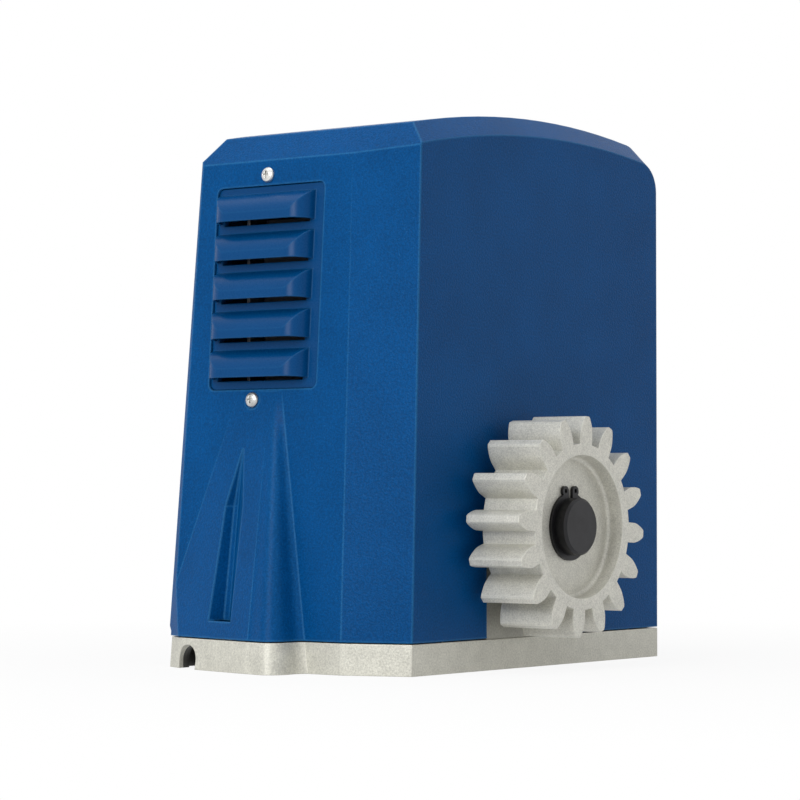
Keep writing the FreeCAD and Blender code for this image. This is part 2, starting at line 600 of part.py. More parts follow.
def cover():
    """Moulded shell, open below, notched for the gearbox nose and the release spindle."""
    shell = cover_block().cut(cover_block(WALL))
    notch = NOSE_R + GAP
    cuts = [tube_y(SHAFT_X, SHAFT_Z, FRONT_Y - 5, FRONT_Y + 8, notch),
            box(SHAFT_X - notch, SHAFT_X + notch, FRONT_Y - 5, FRONT_Y + 8, 0, SHAFT_Z),
            tube_y(SHAFT_X, SPINDLE_Z, BACK_Y - 14, BACK_Y + 5, SPINDLE_SLOT),
            box(SHAFT_X - SPINDLE_SLOT, SHAFT_X + SPINDLE_SLOT, BACK_Y - 14, BACK_Y + 5, 0, SPINDLE_Z),
            on_vent(rounded_plate(-20, 20, VENT_GAP, VENT_CORNER + VENT_GAP))]
    cuts += [on_vent(rod_x(y, z, -5, 8, SCREW_R + 0.4)) for y, z in vent_screw_places()]
    cuts += [on_vent(rod_x(y, z, -5, 0, SCREW_HEAD_R + 0.8)) for y, z in vent_screw_places()]
    shell = shell.cut(cuts)
    pads = []
    for x in (-78, 84):
        pads.append(box(x - 5, x + 5, FRONT_Y + WALL - 0.5, FRONT_Y + WALL + 5, BASE_HEIGHT, 30))
        back = BACK_Y + OVERHANG - WALL
        pads.append(box(x - 5, x + 5, back - 5.5, back - 0.1, BASE_HEIGHT, 26))
    for y in (-20, 20):
        pads.append(box(RIGHT_X - WALL - 5, RIGHT_X - WALL + 0.5, y - 5, y + 5, BASE_HEIGHT, 30))
    return shell.fuse(pads)


def hood(inset):
    """Louvre hood: quarter-round from the side and rounded at both ends in plan."""
    out, rise = LOUVRE_OUT - inset, LOUVRE_RISE - inset
    root = PANEL_FRONT + 0.8
    y0, y1 = (VENT_Y - s * (VENT_W / 2 - edge - inset) for s, edge in zip((1, -1), LOUVRE_ENDS))
    tip, top, foot = V(root - out, y0, -inset), V(root, y0, rise), V(root, y0, -inset)
    bend = V(root - 0.82 * out, y0, 0.62 * rise)
    side = Part.Wire([Part.Arc(tip, bend, top).toShape(), Part.makeLine(top, foot), Part.makeLine(foot, tip)])
    bar = Part.Face(side).extrude(V(0, y1 - y0, 0))

    def corner(y, turn):
        middle = V(root - 0.707 * out, y - turn * 0.293 * out, -20)
        return Part.Arc(V(root, y, -20), middle, V(root - out, y - turn * out, -20)).toShape()

    plan = Part.Wire([Part.makeLine(V(root, y0, -20), V(root, y1, -20)), corner(y1, 1),
                      Part.makeLine(V(root - out, y1 - out, -20), V(root - out, y0 + out, -20)), corner(y0, -1)])
    return bar.common(Part.Face(plan).extrude(V(0, 0, 60)))


def vent_panel():
    """Louvred panel, held from inside the cover by its flange and two tabs."""
    plate = rounded_plate(PANEL_FRONT, WALL + 0.2, 0, VENT_CORNER)
    flange = rounded_plate(WALL, WALL + FLANGE_T, FLANGE, VENT_CORNER)
    tabs = []
    for y, z in vent_screw_places():
        reach = z + math.copysign(TAB_END, z)
        low, high = sorted((math.copysign(VENT_H / 2, z), reach))
        tabs += [box(WALL, WALL + FLANGE_T, y - 6, y + 6, low, high), rod_x(y, z, WALL, WALL + 7, 4.2)]
    panel = fuse(plate, flange, *tabs)
    panel = panel.cut([rod_x(y, z, WALL - 1, WALL + 9, SCREW_R) for y, z in vent_screw_places()])
    shells, mouths = [], []
    low, high = (VENT_Y + s * (VENT_W / 2 - edge - 3.0) for s, edge in zip((-1, 1), LOUVRE_ENDS))
    for n in range(LOUVRES):
        z = LOUVRE_MARGIN - VENT_H / 2 + n * LOUVRE_PITCH
        outer, inner = hood(0.0), hood(LOUVRE_SKIN)
        shell = outer.cut(inner)
        shell.translate(V(0, 0, z))
        shells.append(shell)
        mouths.append(box(-1, WALL + FLANGE_T + 1, low, high, z + LOUVRE_MOUTH[0], z + LOUVRE_MOUTH[1]))
    panel = panel.cut(mouths)
    return on_vent(fuse(panel, *shells))


def vent_screws():
    """Pan-head screws with a cross recess."""
    screws = []
    for y, z in vent_screw_places():
        head = turned([(0, 0), (0, SCREW_HEAD_R), (-0.9, SCREW_HEAD_R), (-1.6, SCREW_HEAD_R - 0.5),
                       (-SCREW_HEAD, SCREW_HEAD_R - 1.7), (-SCREW_HEAD, 0)], V(0, 0, 0), Z_AXIS)
        head.rotate(V(0, 0, 0), Y_AXIS, 90)
        head.translate(V(0, y, z))
        cross = [box(-SCREW_HEAD - 1, -0.9, y - a, y + a, z - b, z + b) for a, b in ((0.45, 1.9), (1.9, 0.45))]
        screws.append(on_vent(fuse(head, rod_x(y, z, -0.2, WALL + 6, SCREW_R)).cut(cross)))
    return screws


# ================================================================ gearbox

def gearbox_housing():
    """Cast housing: wheel and worm chambers, front bearing nose, motor seat and feet."""
    (x0, x1), (y0, y1), (z0, z1) = BOX_X, BOX_Y, BOX_Z
    body = rounded_box(x0, x1, y0, y1, z0, z1, BOX_ROUND, Z_AXIS)
    nose = tube_y(SHAFT_X, SHAFT_Z, NOSE_FRONT, y0 + 1, NOSE_R)
    stand = box(SHAFT_X - NOSE_R, SHAFT_X + NOSE_R, NOSE_FRONT, y0 + 1, z0, SHAFT_Z)
    seat = tube_z(WORM_X, WORM_Y, z1 - 1, MOTOR_SEAT, 33.0)
    ears = [tube_z(WORM_X + s * BOLT_OFF, WORM_Y, z, MOTOR_SEAT, 6.0) for s, z in ((-1, z1 - 1), (1, 104.0))]
    ears += [box(WORM_X, WORM_X + BOLT_OFF, WORM_Y - 6, WORM_Y + 6, 104.0, MOTOR_SEAT),
             box(WORM_X - BOLT_OFF, WORM_X, WORM_Y - 6, WORM_Y + 6, z1 - 1, MOTOR_SEAT)]
    foot_l, foot_r = FEET_X
    feet = [rounded_box(foot_l, foot_r, y - 9, y + 9, z0, z0 + FOOT_T, 5.0, Z_AXIS) for y in (-40.0, -4.0)]
    ribs = [prism([V(x, y, z0 + FOOT_T - 1), V(x + s * 9, y, z0 + FOOT_T - 1), V(x, y, z0 + 60)], V(0, 4, 0))
            for x, s in ((x0 + 1, -1), (x1 - 1, 1)) for y in (-24.0,)]
    casting = fuse(body, nose, stand, seat, *ears, *feet, *ribs)
    worm_r, worm_low, worm_top = WORM_CHAMBER
    y, w, r = FRONT_BEARING
    low_z, low_w, low_r = LOW_BEARING
    mid_z, mid_w, mid_r = MID_BEARING
    cuts = [tube_y(SHAFT_X, SHAFT_Z, CHAMBER_FRONT, y1 + 1, CHAMBER_R),
            tube_y(SHAFT_X, SHAFT_Z, NOSE_FRONT - 1, y + w, r),
            tube_y(SHAFT_X, SHAFT_Z, y, CHAMBER_FRONT + 1, SHOULDER_R + 2),
            tube_z(WORM_X, WORM_Y, worm_low, worm_top, worm_r),
            tube_z(WORM_X, WORM_Y, worm_top - 1, mid_z, 15.3),
            tube_z(WORM_X, WORM_Y, mid_z, MOTOR_SEAT + 1, mid_r),
            tube_z(WORM_X, WORM_Y, low_z, worm_low + 1, low_r),
            tube_z(WORM_X, WORM_Y, ROTOR_LOW - 2, low_z + 1, ROTOR_R + 2)]
    cuts += [tube_z(x, y, z0 - 1, z0 + FOOT_T + 1, 4.0) for x, y in FOOT_BOLTS]
    cuts += [tube_y(x, z, y1 - 12, y1 + 1, 3.0) for x, z in LID_SCREWS]
    cuts += [tube_z(WORM_X + s * BOLT_OFF, WORM_Y, MOTOR_SEAT - 8, MOTOR_SEAT + 1, 2.5) for s in (-1, 1)]
    cuts += [rod_x(PLUG_Y, PLUG_Z, x0 - 1, x0 + 10, 6.0)]
    return casting.cut(cuts)


def lid_blank(y0, y1):
    (x0, x1), (z0, z1) = BOX_X, BOX_Z
    m = LID_MARGIN
    plate = rounded_box(x0 + m, x1 - m, y0, y1, z0 + m, z1 - m, BOX_ROUND, Y_AXIS)
    return plate.cut([tube_y(x, z, y0 - 1, y1 + 1, 3.0) for x, z in LID_SCREWS])


def gearbox_gasket():
    y = BOX_Y[1]
    return lid_blank(y, y + GASKET).cut(tube_y(SHAFT_X, SHAFT_Z, y - 1, y + 1, CHAMBER_R))


def gearbox_lid():
    """Rear lid: bearing cup, bush boss for the release spindle and a socket for the guide rod."""
    y0 = BOX_Y[1] + GASKET
    y1 = y0 + LID_T
    start, width, r = REAR_BEARING
    cup = tube_y(SHAFT_X, SHAFT_Z, y1 - 1, start + width + 2.5, r + 4)
    boss = tube_y(SHAFT_X, SPINDLE_Z, y1 - 1, y1 + 7, SPINDLE_R + 5)
    lid = fuse(lid_blank(y0, y1), cup, boss)
    return lid.cut([tube_y(SHAFT_X, SHAFT_Z, start, start + width, r),
                    tube_y(SHAFT_X, SHAFT_Z, y0 - 1, start + 1, JOURNAL_R + 5),
                    tube_y(SHAFT_X, SPINDLE_Z, y0 - 1, y1 + 12, SPINDLE_R + RUNNING),
                    tube_y(GUIDE_X, SHAFT_Z, y0 - 1, y0 + 4.5, GUIDE_R)])


def bearing(steps, centre, axis, shaft_r):
    """Sealed ball bearing as two rings: the outer one carries the seals, the inner one the shaft."""
    start, width, outer = steps
    end = start + width
    groove_in = shaft_r + (outer - shaft_r) * 0.30
    groove_out = outer - (outer - shaft_r) * 0.28
    inner = turned([(start, shaft_r), (end, shaft_r), (end, groove_in), (start, groove_in)], centre, axis)
    seal = groove_in + GAP
    ring = turned([(start, outer), (end, outer), (end, seal), (end - 1.0, seal), (end - 1.0, groove_out),
                   (start + 1.0, groove_out), (start + 1.0, seal), (start, seal)], centre, axis)
    return inner, ring


def oil_seal():
    """Lip seal between the nose and the shaft's shoulder."""
    start, width, r = OIL_SEAL
    end = start + width
    lip = SHOULDER_R + RUNNING
    centre = V(SHAFT_X, 0, SHAFT_Z)
    return turned([(start, r), (end, r), (end, r - 2), (start + 2, r - 2), (start + 2, lip + 2),
                   (end - 2, lip + 1.5), (end - 2, lip), (start, lip)], centre, Y_AXIS)


def rotor_seal():
    lip = ROTOR_R + RUNNING
    centre = V(WORM_X, WORM_Y, 0)
    z0, z1 = MOTOR_SEAT - 6.0, MOTOR_SEAT - 1.0
    return turned([(z0, 12.0), (z1, 12.0), (z1, lip), (z1 - 1.5, lip), (z1 - 1.5, 10.5), (z0, 10.5)],
                  centre, Z_AXIS)


def output_shaft():
    """Stepped steel shaft with a circlip groove, a pinion keyway and two keyways for the clutch."""
    centre = V(SHAFT_X, 0, SHAFT_Z)
    groove = PINION_FRONT + DISH - CIRCLIP_T
    steps = [(SHAFT_FRONT, groove, SHAFT_R), (groove, groove + CIRCLIP_T, CIRCLIP_GROOVE_R),
             (groove + CIRCLIP_T, PINION_FRONT + PINION_FACE, SHAFT_R),
             (PINION_FRONT + PINION_FACE, FRONT_BEARING[0], SHOULDER_R),
             (FRONT_BEARING[0], REAR_BEARING[0], JOURNAL_R), (REAR_BEARING[0], SHAFT_BACK, TAIL_R)]
    shaft = stepped(steps, centre, Y_AXIS, 1.2)
    return shaft.cut([pinion_key()] + clutch_key_blocks(0.0))


def clutch_key_blocks(play):
    half = 2.5 + play
    y0, y1 = COLLAR_Y[0] - 1.0, REAR_BEARING[0] - 1.5
    return [box(SHAFT_X + s * (JOURNAL_R - 2.5) - (s < 0) * (5.0 + play), SHAFT_X + s * (JOURNAL_R - 2.5) +
                (s > 0) * (5.0 + play), y0, y1, SHAFT_Z - half, SHAFT_Z + half) for s in (-1, 1)]


def circlip():
    """External retaining ring with lugs, open at the top."""
    y = PINION_FRONT + DISH - CIRCLIP_T
    ring = tube_y(SHAFT_X, SHAFT_Z, y, y + CIRCLIP_T, CIRCLIP_R, CIRCLIP_GROOVE_R)
    lugs = [tube_y(SHAFT_X + s * 4.2, SHAFT_Z + CIRCLIP_R + 0.6, y, y + CIRCLIP_T, 2.6) for s in (-1, 1)]
    gap = box(SHAFT_X - 1.6, SHAFT_X + 1.6, y - 1, y + CIRCLIP_T + 1, SHAFT_Z + 5, SHAFT_Z + 30)
    holes = [tube_y(SHAFT_X + s * 4.2, SHAFT_Z + CIRCLIP_R + 0.8, y - 1, y + CIRCLIP_T + 1, 1.1)
             for s in (-1, 1)]
    core = tube_y(SHAFT_X, SHAFT_Z, y - 1, y + CIRCLIP_T + 1, CIRCLIP_GROOVE_R)
    return fuse(ring, *lugs).cut([gap, core] + holes)


def wheel_bush():
    y0, y1 = WHEEL_Y - WHEEL_FACE / 2, WHEEL_Y + WHEEL_FACE / 2
    return tube_y(SHAFT_X, SHAFT_Z, y0, y1, WHEEL_BORE, JOURNAL_R)


def wheel_spacer():
    """Sleeve that keeps the wheel off the front bearing."""
    y0 = FRONT_BEARING[0] + FRONT_BEARING[1]
    return tube_y(SHAFT_X, SHAFT_Z, y0, WHEEL_Y - WHEEL_FACE / 2, JOURNAL_R + 3, JOURNAL_R)


# ================================================================ clutch and release

def clutch_collar():
    """Sliding collar: dogs towards the wheel, a groove for the fork and two inner keyways."""
    y0, y1 = COLLAR_Y
    collar = tube_y(SHAFT_X, SHAFT_Z, y0, y1, COLLAR_R)
    dogs = [dog(n, y0 - DOG_LENGTH, y0 + 1) for n in range(DOGS)]
    collar = fuse(collar, *dogs)
    groove = tube_y(SHAFT_X, SHAFT_Z, GROOVE_Y - GROOVE_W / 2, GROOVE_Y + GROOVE_W / 2, COLLAR_R + 2, GROOVE_R)
    bore = tube_y(SHAFT_X, SHAFT_Z, y0 - 1, y1 + 1, JOURNAL_R + RUNNING)
    return collar.cut([groove, bore] + clutch_key_blocks(0.15))


def shift_fork():
    """Half-ring in the collar's groove, guided at one side, with a pin down into the drum."""
    y0, y1 = GROOVE_Y - FORK_T / 2, GROOVE_Y + FORK_T / 2
    yoke = tube_y(SHAFT_X, SHAFT_Z, y0, y1, FORK_R, GROOVE_R + GAP)
    yoke = yoke.cut(box(SHAFT_X - 30, SHAFT_X + 30, y0 - 1, y1 + 1, SHAFT_Z + 6, SHAFT_Z + 30))
    arm = box(GUIDE_X, SHAFT_X - GROOVE_R - 2, y0, y1, SHAFT_Z - 5, SHAFT_Z + 5)
    eye = tube_y(GUIDE_X, SHAFT_Z, y0, y0 + 9.4, GUIDE_R + 3)
    pin = tube_z(SHAFT_X, GROOVE_Y, SPINDLE_Z + DRUM_R - DRUM_GROOVE + 0.4, SHAFT_Z - FORK_R + 1.5, PIN_R)
    pin = pin.common(box(SHAFT_X - 9, SHAFT_X + 9, y0 - 2, y1 + 2, 0, 99))
    fork = fuse(yoke, arm, eye, pin)
    return fork.cut(tube_y(GUIDE_X, SHAFT_Z, y0 - 1, y0 + 12, GUIDE_R + RUNNING))


def guide_rod():
    y0, y1 = DRUM_Y[0], BOX_Y[1] + GASKET + 4.5
    return tube_y(GUIDE_X, SHAFT_Z, y0, y1, GUIDE_R)


def release_spindle():
    """Spindle with a drum whose helical groove moves the fork by TRAVEL over RELEASE_TURN."""
    low, high = DRUM_Y
    drum = tube_y(SHAFT_X, SPINDLE_Z, low, high, DRUM_R)
    rod = tube_y(SHAFT_X, SPINDLE_Z, high - 1, HUB_Y[0] + 4, SPINDLE_R)
    square = 4.0
    spigot = box(SHAFT_X - square, SHAFT_X + square, HUB_Y[0] + 3, LOCK_Y - GAP, SPINDLE_Z - square,
                 SPINDLE_Z + square)
    groove = []
    steps = 18
    for n in range(-1, steps + 2):
        part = min(max(n / steps, 0.0), 1.0)
        cut = tube_z(SHAFT_X, GROOVE_Y + TRAVEL * part, SPINDLE_Z + DRUM_R - DRUM_GROOVE, SPINDLE_Z + 12,
                     DRUM_GROOVE_R)
        cut.rotate(V(SHAFT_X, 0, SPINDLE_Z), Y_AXIS, RELEASE_TURN * n / steps)
        groove.append(cut)
    return fuse(drum, rod, spigot).cut(groove)


def release_handle():
    """Lever on the spindle's square, with a finger end and a bore for the lock."""
    y0, y1 = HUB_Y
    hub = tube_y(SHAFT_X, SPINDLE_Z, y0, y1, HUB_R)
    end_x = SHAFT_X + HANDLE_LENGTH
    t = HANDLE_T
    lever = prism([V(SHAFT_X, y1 - t, SPINDLE_Z - 8), V(end_x, y1 - t, SPINDLE_Z - 5.5),
                   V(end_x, y1 - t, SPINDLE_Z + 5.5), V(SHAFT_X, y1 - t, SPINDLE_Z + 8)], V(0, t, 0))
    tip = tube_y(end_x, SPINDLE_Z, y1 - t, y1, 5.5)
    handle = fuse(hub, lever, tip)
    rim = [e for e in handle.Edges if abs(e.CenterOfMass.y - y1) < 1e-6]
    handle = handle.makeChamfer(1.2, rim)
    square = 4.0
    return handle.cut([tube_y(SHAFT_X, SPINDLE_Z, LOCK_Y - GAP / 2, y1 + 2, LOCK_R + RUNNING),
                       tube_y(SHAFT_X, SPINDLE_Z, y0 - 1, y0 + 4, SPINDLE_R),
                       box(SHAFT_X - square, SHAFT_X + square, y0, LOCK_Y, SPINDLE_Z - square,
                           SPINDLE_Z + square)])


def lock_barrel():
    """Key barrel in the handle's hub, with a key slot."""
    barrel = tube_y(SHAFT_X, SPINDLE_Z, LOCK_Y, HUB_Y[1] + 0.6, LOCK_R)
    top = [e for e in barrel.Edges if abs(e.CenterOfMass.y - HUB_Y[1] - 0.6) < 1e-6]
    return barrel.makeChamfer(0.5, top).cut(
        box(SHAFT_X - 0.8, SHAFT_X + 0.8, HUB_Y[1] - 4, HUB_Y[1] + 2, SPINDLE_Z - 3.6, SPINDLE_Z + 3.6))


# ================================================================ motor

def motor_ears(z0, z1):
    pieces = []
    for s in (-1, 1):
        x = WORM_X + s * BOLT_OFF
        pieces += [tube_z(x, WORM_Y, z0, z1, 5.5),
                   box(min(x, WORM_X), max(x, WORM_X), WORM_Y - 5.5, WORM_Y + 5.5, z0, z1)]
    return pieces


def motor_bolt_holes(z0, z1):
    return [tube_z(WORM_X + s * BOLT_OFF, WORM_Y, z0, z1, 2.7) for s in (-1, 1)]


def rotor_shaft():
    centre = V(WORM_X, WORM_Y, 0)
    return stepped([(ROTOR_LOW, TOP_BEARING[0], ROTOR_R), (TOP_BEARING[0], ROTOR_TOP, ROTOR_TOP_R)],
                   centre, Z_AXIS, 0.8)


def armature_core():
    """Laminated core with open slots."""
    z0, z1 = CORE_Z
    core = tube_z(WORM_X, WORM_Y, z0, z1, CORE_R, ROTOR_R)
    return core.cut(slot_blocks(z0 - 1, z1 + 1, 0.0))


def slot_blocks(z0, z1, inset):
    blocks = []
    for n in range(SLOTS):
        cut = box(WORM_X + SLOT_IN, WORM_X + CORE_R + 2 - inset, WORM_Y - SLOT_W / 2, WORM_Y + SLOT_W / 2, z0, z1)
        cut.rotate(V(WORM_X, WORM_Y, 0), Z_AXIS, 360.0 * n / SLOTS)
        blocks.append(cut)
    return blocks


def armature_winding():
    """Coils in the slots, with rounded end turns."""
    z0, z1 = CORE_Z
    coils = []
    for a, b in ((z0 - 7, z0), (z1, z1 + 6)):
        ring = tube_z(WORM_X, WORM_Y, a, b, CORE_R - 3.5, SLOT_IN - 3)
        rims = [e for e in ring.Edges if abs(e.Length - 2 * math.pi * (CORE_R - 3.5)) < 0.01]
        coils.append(ring.makeChamfer(2.0, rims))
    return fuse(*coils, *slot_blocks(z0 - 1, z1 + 1, 4.0))


def commutator():
    z0, z1 = COMMUTATOR_Z
    drum = tube_z(WORM_X, WORM_Y, z0, z1, COMMUTATOR_R, ROTOR_R)
    cuts = []
    for n in range(SLOTS):
        cut = box(WORM_X + COMMUTATOR_R - 1.2, WORM_X + COMMUTATOR_R + 1, WORM_Y - 0.4, WORM_Y + 0.4, z0 - 1, z1 + 1)
        cut.rotate(V(WORM_X, WORM_Y, 0), Z_AXIS, 360.0 * (n + 0.5) / SLOTS)
        cuts.append(cut)
    return drum.cut(cuts)


def motor_flange():
    """Lower end plate: flange on the gearbox and a spigot that holds the bearing."""
    mid_z, mid_w, mid_r = MID_BEARING
    disc = tube_z(WORM_X, WORM_Y, MOTOR_SEAT, YOKE_LOW, MOTOR_R)
    spigot = tube_z(WORM_X, WORM_Y, mid_z + mid_w, MOTOR_SEAT + 1, mid_r)
    flange = fuse(disc, spigot, *motor_ears(MOTOR_SEAT, YOKE_LOW))
    bores = [tube_z(WORM_X, WORM_Y, 100, YOKE_LOW + 1, ROTOR_R + 2.5),
             tube_z(WORM_X, WORM_Y, 100, MOTOR_SEAT - 1.0, 12.0),
             tube_z(WORM_X, WORM_Y, YOKE_LOW - 3, YOKE_LOW + 1, MOTOR_R - YOKE_WALL - 2)]
    return flange.cut(bores + motor_bolt_holes(100, YOKE_LOW + 1))


def motor_yoke():
    return tube_z(WORM_X, WORM_Y, YOKE_LOW, YOKE_TOP, MOTOR_R, MOTOR_R - YOKE_WALL)


def motor_magnets():
    arcs = []
    for s in (-1, 1):
        ring = tube_z(WORM_X, WORM_Y, CORE_Z[0] - 3, CORE_Z[1] + 3, MOTOR_R - YOKE_WALL, MAGNET_IN)
        reach = 1.6 * MOTOR_R
        half = prism([V(WORM_X, WORM_Y, YOKE_LOW), V(WORM_X - 0.43 * reach, WORM_Y + s * reach, YOKE_LOW),
                      V(WORM_X + 0.43 * reach, WORM_Y + s * reach, YOKE_LOW)], V(0, 0, YOKE_TOP - YOKE_LOW))
        arcs.append(ring.common(half))
    return arcs


def motor_top():
    """Upper end bell: a cup over the brush gear with the top bearing's housing."""
    z, w, r = TOP_BEARING
    cup = tube_z(WORM_X, WORM_Y, YOKE_TOP, MOTOR_TOP, MOTOR_R)
    rim = [e for e in cup.Edges if abs(e.CenterOfMass.z - MOTOR_TOP) < 1e-6]
    cup = cup.makeChamfer(2.0, rim)
    boss = tube_z(WORM_X, WORM_Y, MOTOR_TOP - 1, z + w + 2, r + 4)
    bell = fuse(cup, boss, *motor_ears(MOTOR_TOP - 8, MOTOR_TOP - 3))
    bell = bell.cut([tube_z(WORM_X, WORM_Y, YOKE_TOP - 1, z, MOTOR_R - YOKE_WALL),
                     tube_z(WORM_X, WORM_Y, z - 1, z + w, r), tube_z(WORM_X, WORM_Y, z, z + w + 3, 8.0)])
    return bell.cut(motor_bolt_holes(YOKE_TOP, MOTOR_TOP + 2))


def brushes():
    z0, z1 = COMMUTATOR_Z
    return [box(min(a, b), max(a, b), WORM_Y - 3, WORM_Y + 3, z0 + 3.5, z1 - 3.5)
            for a, b in ((WORM_X + COMMUTATOR_R + 0.1, WORM_X + 24), (WORM_X - COMMUTATOR_R - 0.1, WORM_X - 24))]


def brush_holders():
    z0, z1 = COMMUTATOR_Z
    holders = []
    for s in (-1, 1):
        a, b = WORM_X + s * 15, WORM_X + s * (MOTOR_R - YOKE_WALL - 0.6)
        tube = box(min(a, b), max(a, b), WORM_Y - 5, WORM_Y + 5, YOKE_TOP, z1 - 1.5)
        holders.append(tube.cut(box(min(a, WORM_X + s * 24) - 1 * (s > 0), max(a, WORM_X + s * 24) + 1 * (s < 0),
                                    WORM_Y - 3, WORM_Y + 3, YOKE_TOP - 1, z1 - 3.5)))
    return holders


def motor_bolts():
    return [bolt(WORM_X + s * BOLT_OFF, WORM_Y, MOTOR_SEAT - 7, MOTOR_TOP - 3, 2.5, 4.5, 5.0) for s in (-1, 1)]


def encoder_disc():
    """Slotted disc on a hub at the rotor's top."""
    hub = tube_z(WORM_X, WORM_Y, ENCODER_Z - 2, ENCODER_Z + 5, 8.0, ROTOR_TOP_R)
    disc = tube_z(WORM_X, WORM_Y, ENCODER_Z, ENCODER_Z + 1, ENCODER_R, ROTOR_TOP_R)
    cuts = []
    for n in range(12):
        cut = box(WORM_X + ENCODER_R - 4, WORM_X + ENCODER_R + 1, WORM_Y - 1.2, WORM_Y + 1.2, ENCODER_Z - 1,
                  ENCODER_Z + 2)
        cut.rotate(V(WORM_X, WORM_Y, 0), Z_AXIS, 30.0 * n)
        cuts.append(cut)
    return fuse(hub, disc).cut(cuts)


def encoder_sensor():
    """Fork sensor over the disc's rim, on a foot on the motor's top."""
    y0 = WORM_Y + ENCODER_R - 3.5
    post = box(WORM_X - 5, WORM_X + 5, y0, y0 + 13, MOTOR_TOP, ENCODER_Z + 6)
    return post.cut([box(WORM_X - 6, WORM_X + 6, y0 - 1, WORM_Y + ENCODER_R + 2, ENCODER_Z - 2, ENCODER_Z + 3),
                     box(WORM_X - 6, WORM_X + 6, y0 - 1, WORM_Y + 19.5, MOTOR_TOP - 1, ENCODER_Z - 3.5)])


# ================================================================ electronics

def bracket_screw_places():
    return [(x, BRACKET_Y - 7.0) for x in (-70.0, -34.0, 40.0, 86.0)]


def bracket_bolts():
    z = BASE_HEIGHT + SHEET
    return [bolt(x, y, BASE_HEIGHT - DECK - 2, z, 2.5, 4.5, 4.0) for x, y in bracket_screw_places()]


def bracket():
    """Folded sheet: foot on the deck, wall behind the gearbox and a shelf for the battery."""
    x0, x1 = BRACKET_X
    y, t = BRACKET_Y, SHEET
    wall = box(x0, x1, y, y + t, BASE_HEIGHT, BRACKET_TOP)
    foot = box(x0, x1, y - 14, y + t, BASE_HEIGHT, BASE_HEIGHT + t)
    shelf = box(x0 - 3, BATTERY_X[1] + 3, BATTERY_Y[0] - 2, y + t, BOX_Z[1], BOX_Z[1] + t)
    lip = box(x0 - 3, BATTERY_X[1] + 3, BATTERY_Y[0] - 2, BATTERY_Y[0], BOX_Z[1], BOX_Z[1] + 12)
    sheet = fuse(wall, foot, shelf, lip)
    cuts = [tube_z(x, yy, BASE_HEIGHT - 1, BASE_HEIGHT + t + 1, 2.5) for x, yy in bracket_screw_places()]
    cuts += [tube_y(SHAFT_X, SPINDLE_Z, y - 1, y + t + 1, SPINDLE_R + 3)]
    cuts += [box(BATTERY_X[1] + 4, x1 + 1, y - 1, y + t + 1, 219.0, BRACKET_TOP + 1)]
    cuts += [tube_y(x, z, y - 1, y + t + 1, 1.6) for x, z in standoff_places()]
    cuts += [tube_y(-60.0, 65.0, y - 1, y + t + 1, 9.0)]
    return sheet.cut(cuts)


def battery():
    (x0, x1), (y0, y1) = BATTERY_X, BATTERY_Y
    z = BOX_Z[1] + SHEET
    case = rounded_box(x0, x1, y0, y1, z, z + BATTERY_H, 2.5, Z_AXIS)
    lid = box(x0 + 1.5, x1 - 1.5, y0 + 1.5, y1 - 1.5, z + BATTERY_H - 0.5, z + BATTERY_H + 2)
    seam = fuse(case, lid)
    return seam.cut([box(x0 + 8, x1 - 8, y - 4, y + 4, z + BATTERY_H + 0.8, z + BATTERY_H + 3)
                     for y in (y0 + 12, y1 - 12)])


def battery_tabs():
    (x0, x1), (y0, y1) = BATTERY_X, BATTERY_Y
    z = BOX_Z[1] + SHEET + BATTERY_H + 0.8
    return [box(x - 3, x + 3, y0 + 11.6, y0 + 12.4, z, z + 7) for x in (x0 + 14, x1 - 14)]


def battery_strap():
    (x0, x1) = BATTERY_X
    z0, z1 = BOX_Z[1] + SHEET, BOX_Z[1] + SHEET + BATTERY_H + 2
    y0, y1 = -21.0, -5.0
    t = 1.2
    outer = box(x0 - t, x1 + t, y0, y1, z0, z1 + t)
    inner = box(x0, x1, y0 - 1, y1 + 1, z0 - 1, z1 - 2)
    crown = box(x0 + 1.5, x1 - 1.5, y0 - 1, y1 + 1, z0, z1)
    return outer.cut([inner, crown])


def standoff_places():
    (x0, x1), (z0, z1) = BOARD_X, BOARD_Z
    return [(x, z) for x in (x0 + 6, x1 - 6) for z in (z0 + 6, z1 - 6)]


def board_y():
    return BRACKET_Y + SHEET + STANDOFF


def circuit_board():
    (x0, x1), (z0, z1) = BOARD_X, BOARD_Z
    y = board_y()
    board = rounded_box(x0, x1, y, y + BOARD_T, z0, z1, 3.0, Y_AXIS)
    return board.cut([tube_y(x, z, y - 1, y + 4, 1.6) for x, z in standoff_places()])


def board_standoffs():
    y0, y1 = BRACKET_Y + SHEET, board_y()
    return [tube_y(x, z, y0, y1, 3.5, 1.6) for x, z in standoff_places()]


def board_screws():
    return [bolt_y(x, z, BRACKET_Y + SHEET, board_y() + BOARD_T, 1.5, 2.9, 2.0) for x, z in standoff_places()]


def relays():
    y = board_y() + BOARD_T
    return [box(x, x + 19, y, y + 13, BOARD_Z[1] - 38, BOARD_Z[1] - 22) for x in (-58, -34, -10)]


def capacitors():
    y = board_y() + BOARD_T
    caps = []
    for x, z, r in ((30.0, 188.0, 7.0), (48.0, 188.0, 7.0), (30.0, 168.0, 5.0)):
        can = tube_y(x, z, y, y + 12, r)
        caps.append(can.makeChamfer(0.8, [e for e in can.Edges if abs(e.CenterOfMass.y - y - 12) < 1e-6]))
    return caps


def heat_sink():
    y = board_y() + BOARD_T
    x0, z0 = -60.0, 136.0
    sink = box(x0, x0 + 36, y, y + 12, z0, z0 + 28)
    return sink.cut([box(x0 + 3 + 4.4 * n, x0 + 5.6 + 4.4 * n, y + 3, y + 13, z0 - 1, z0 + 29) for n in range(7)])


def processor():
    y = board_y() + BOARD_T
    return box(-4.0, 14.0, y, y + 2.2, 140.0, 158.0)


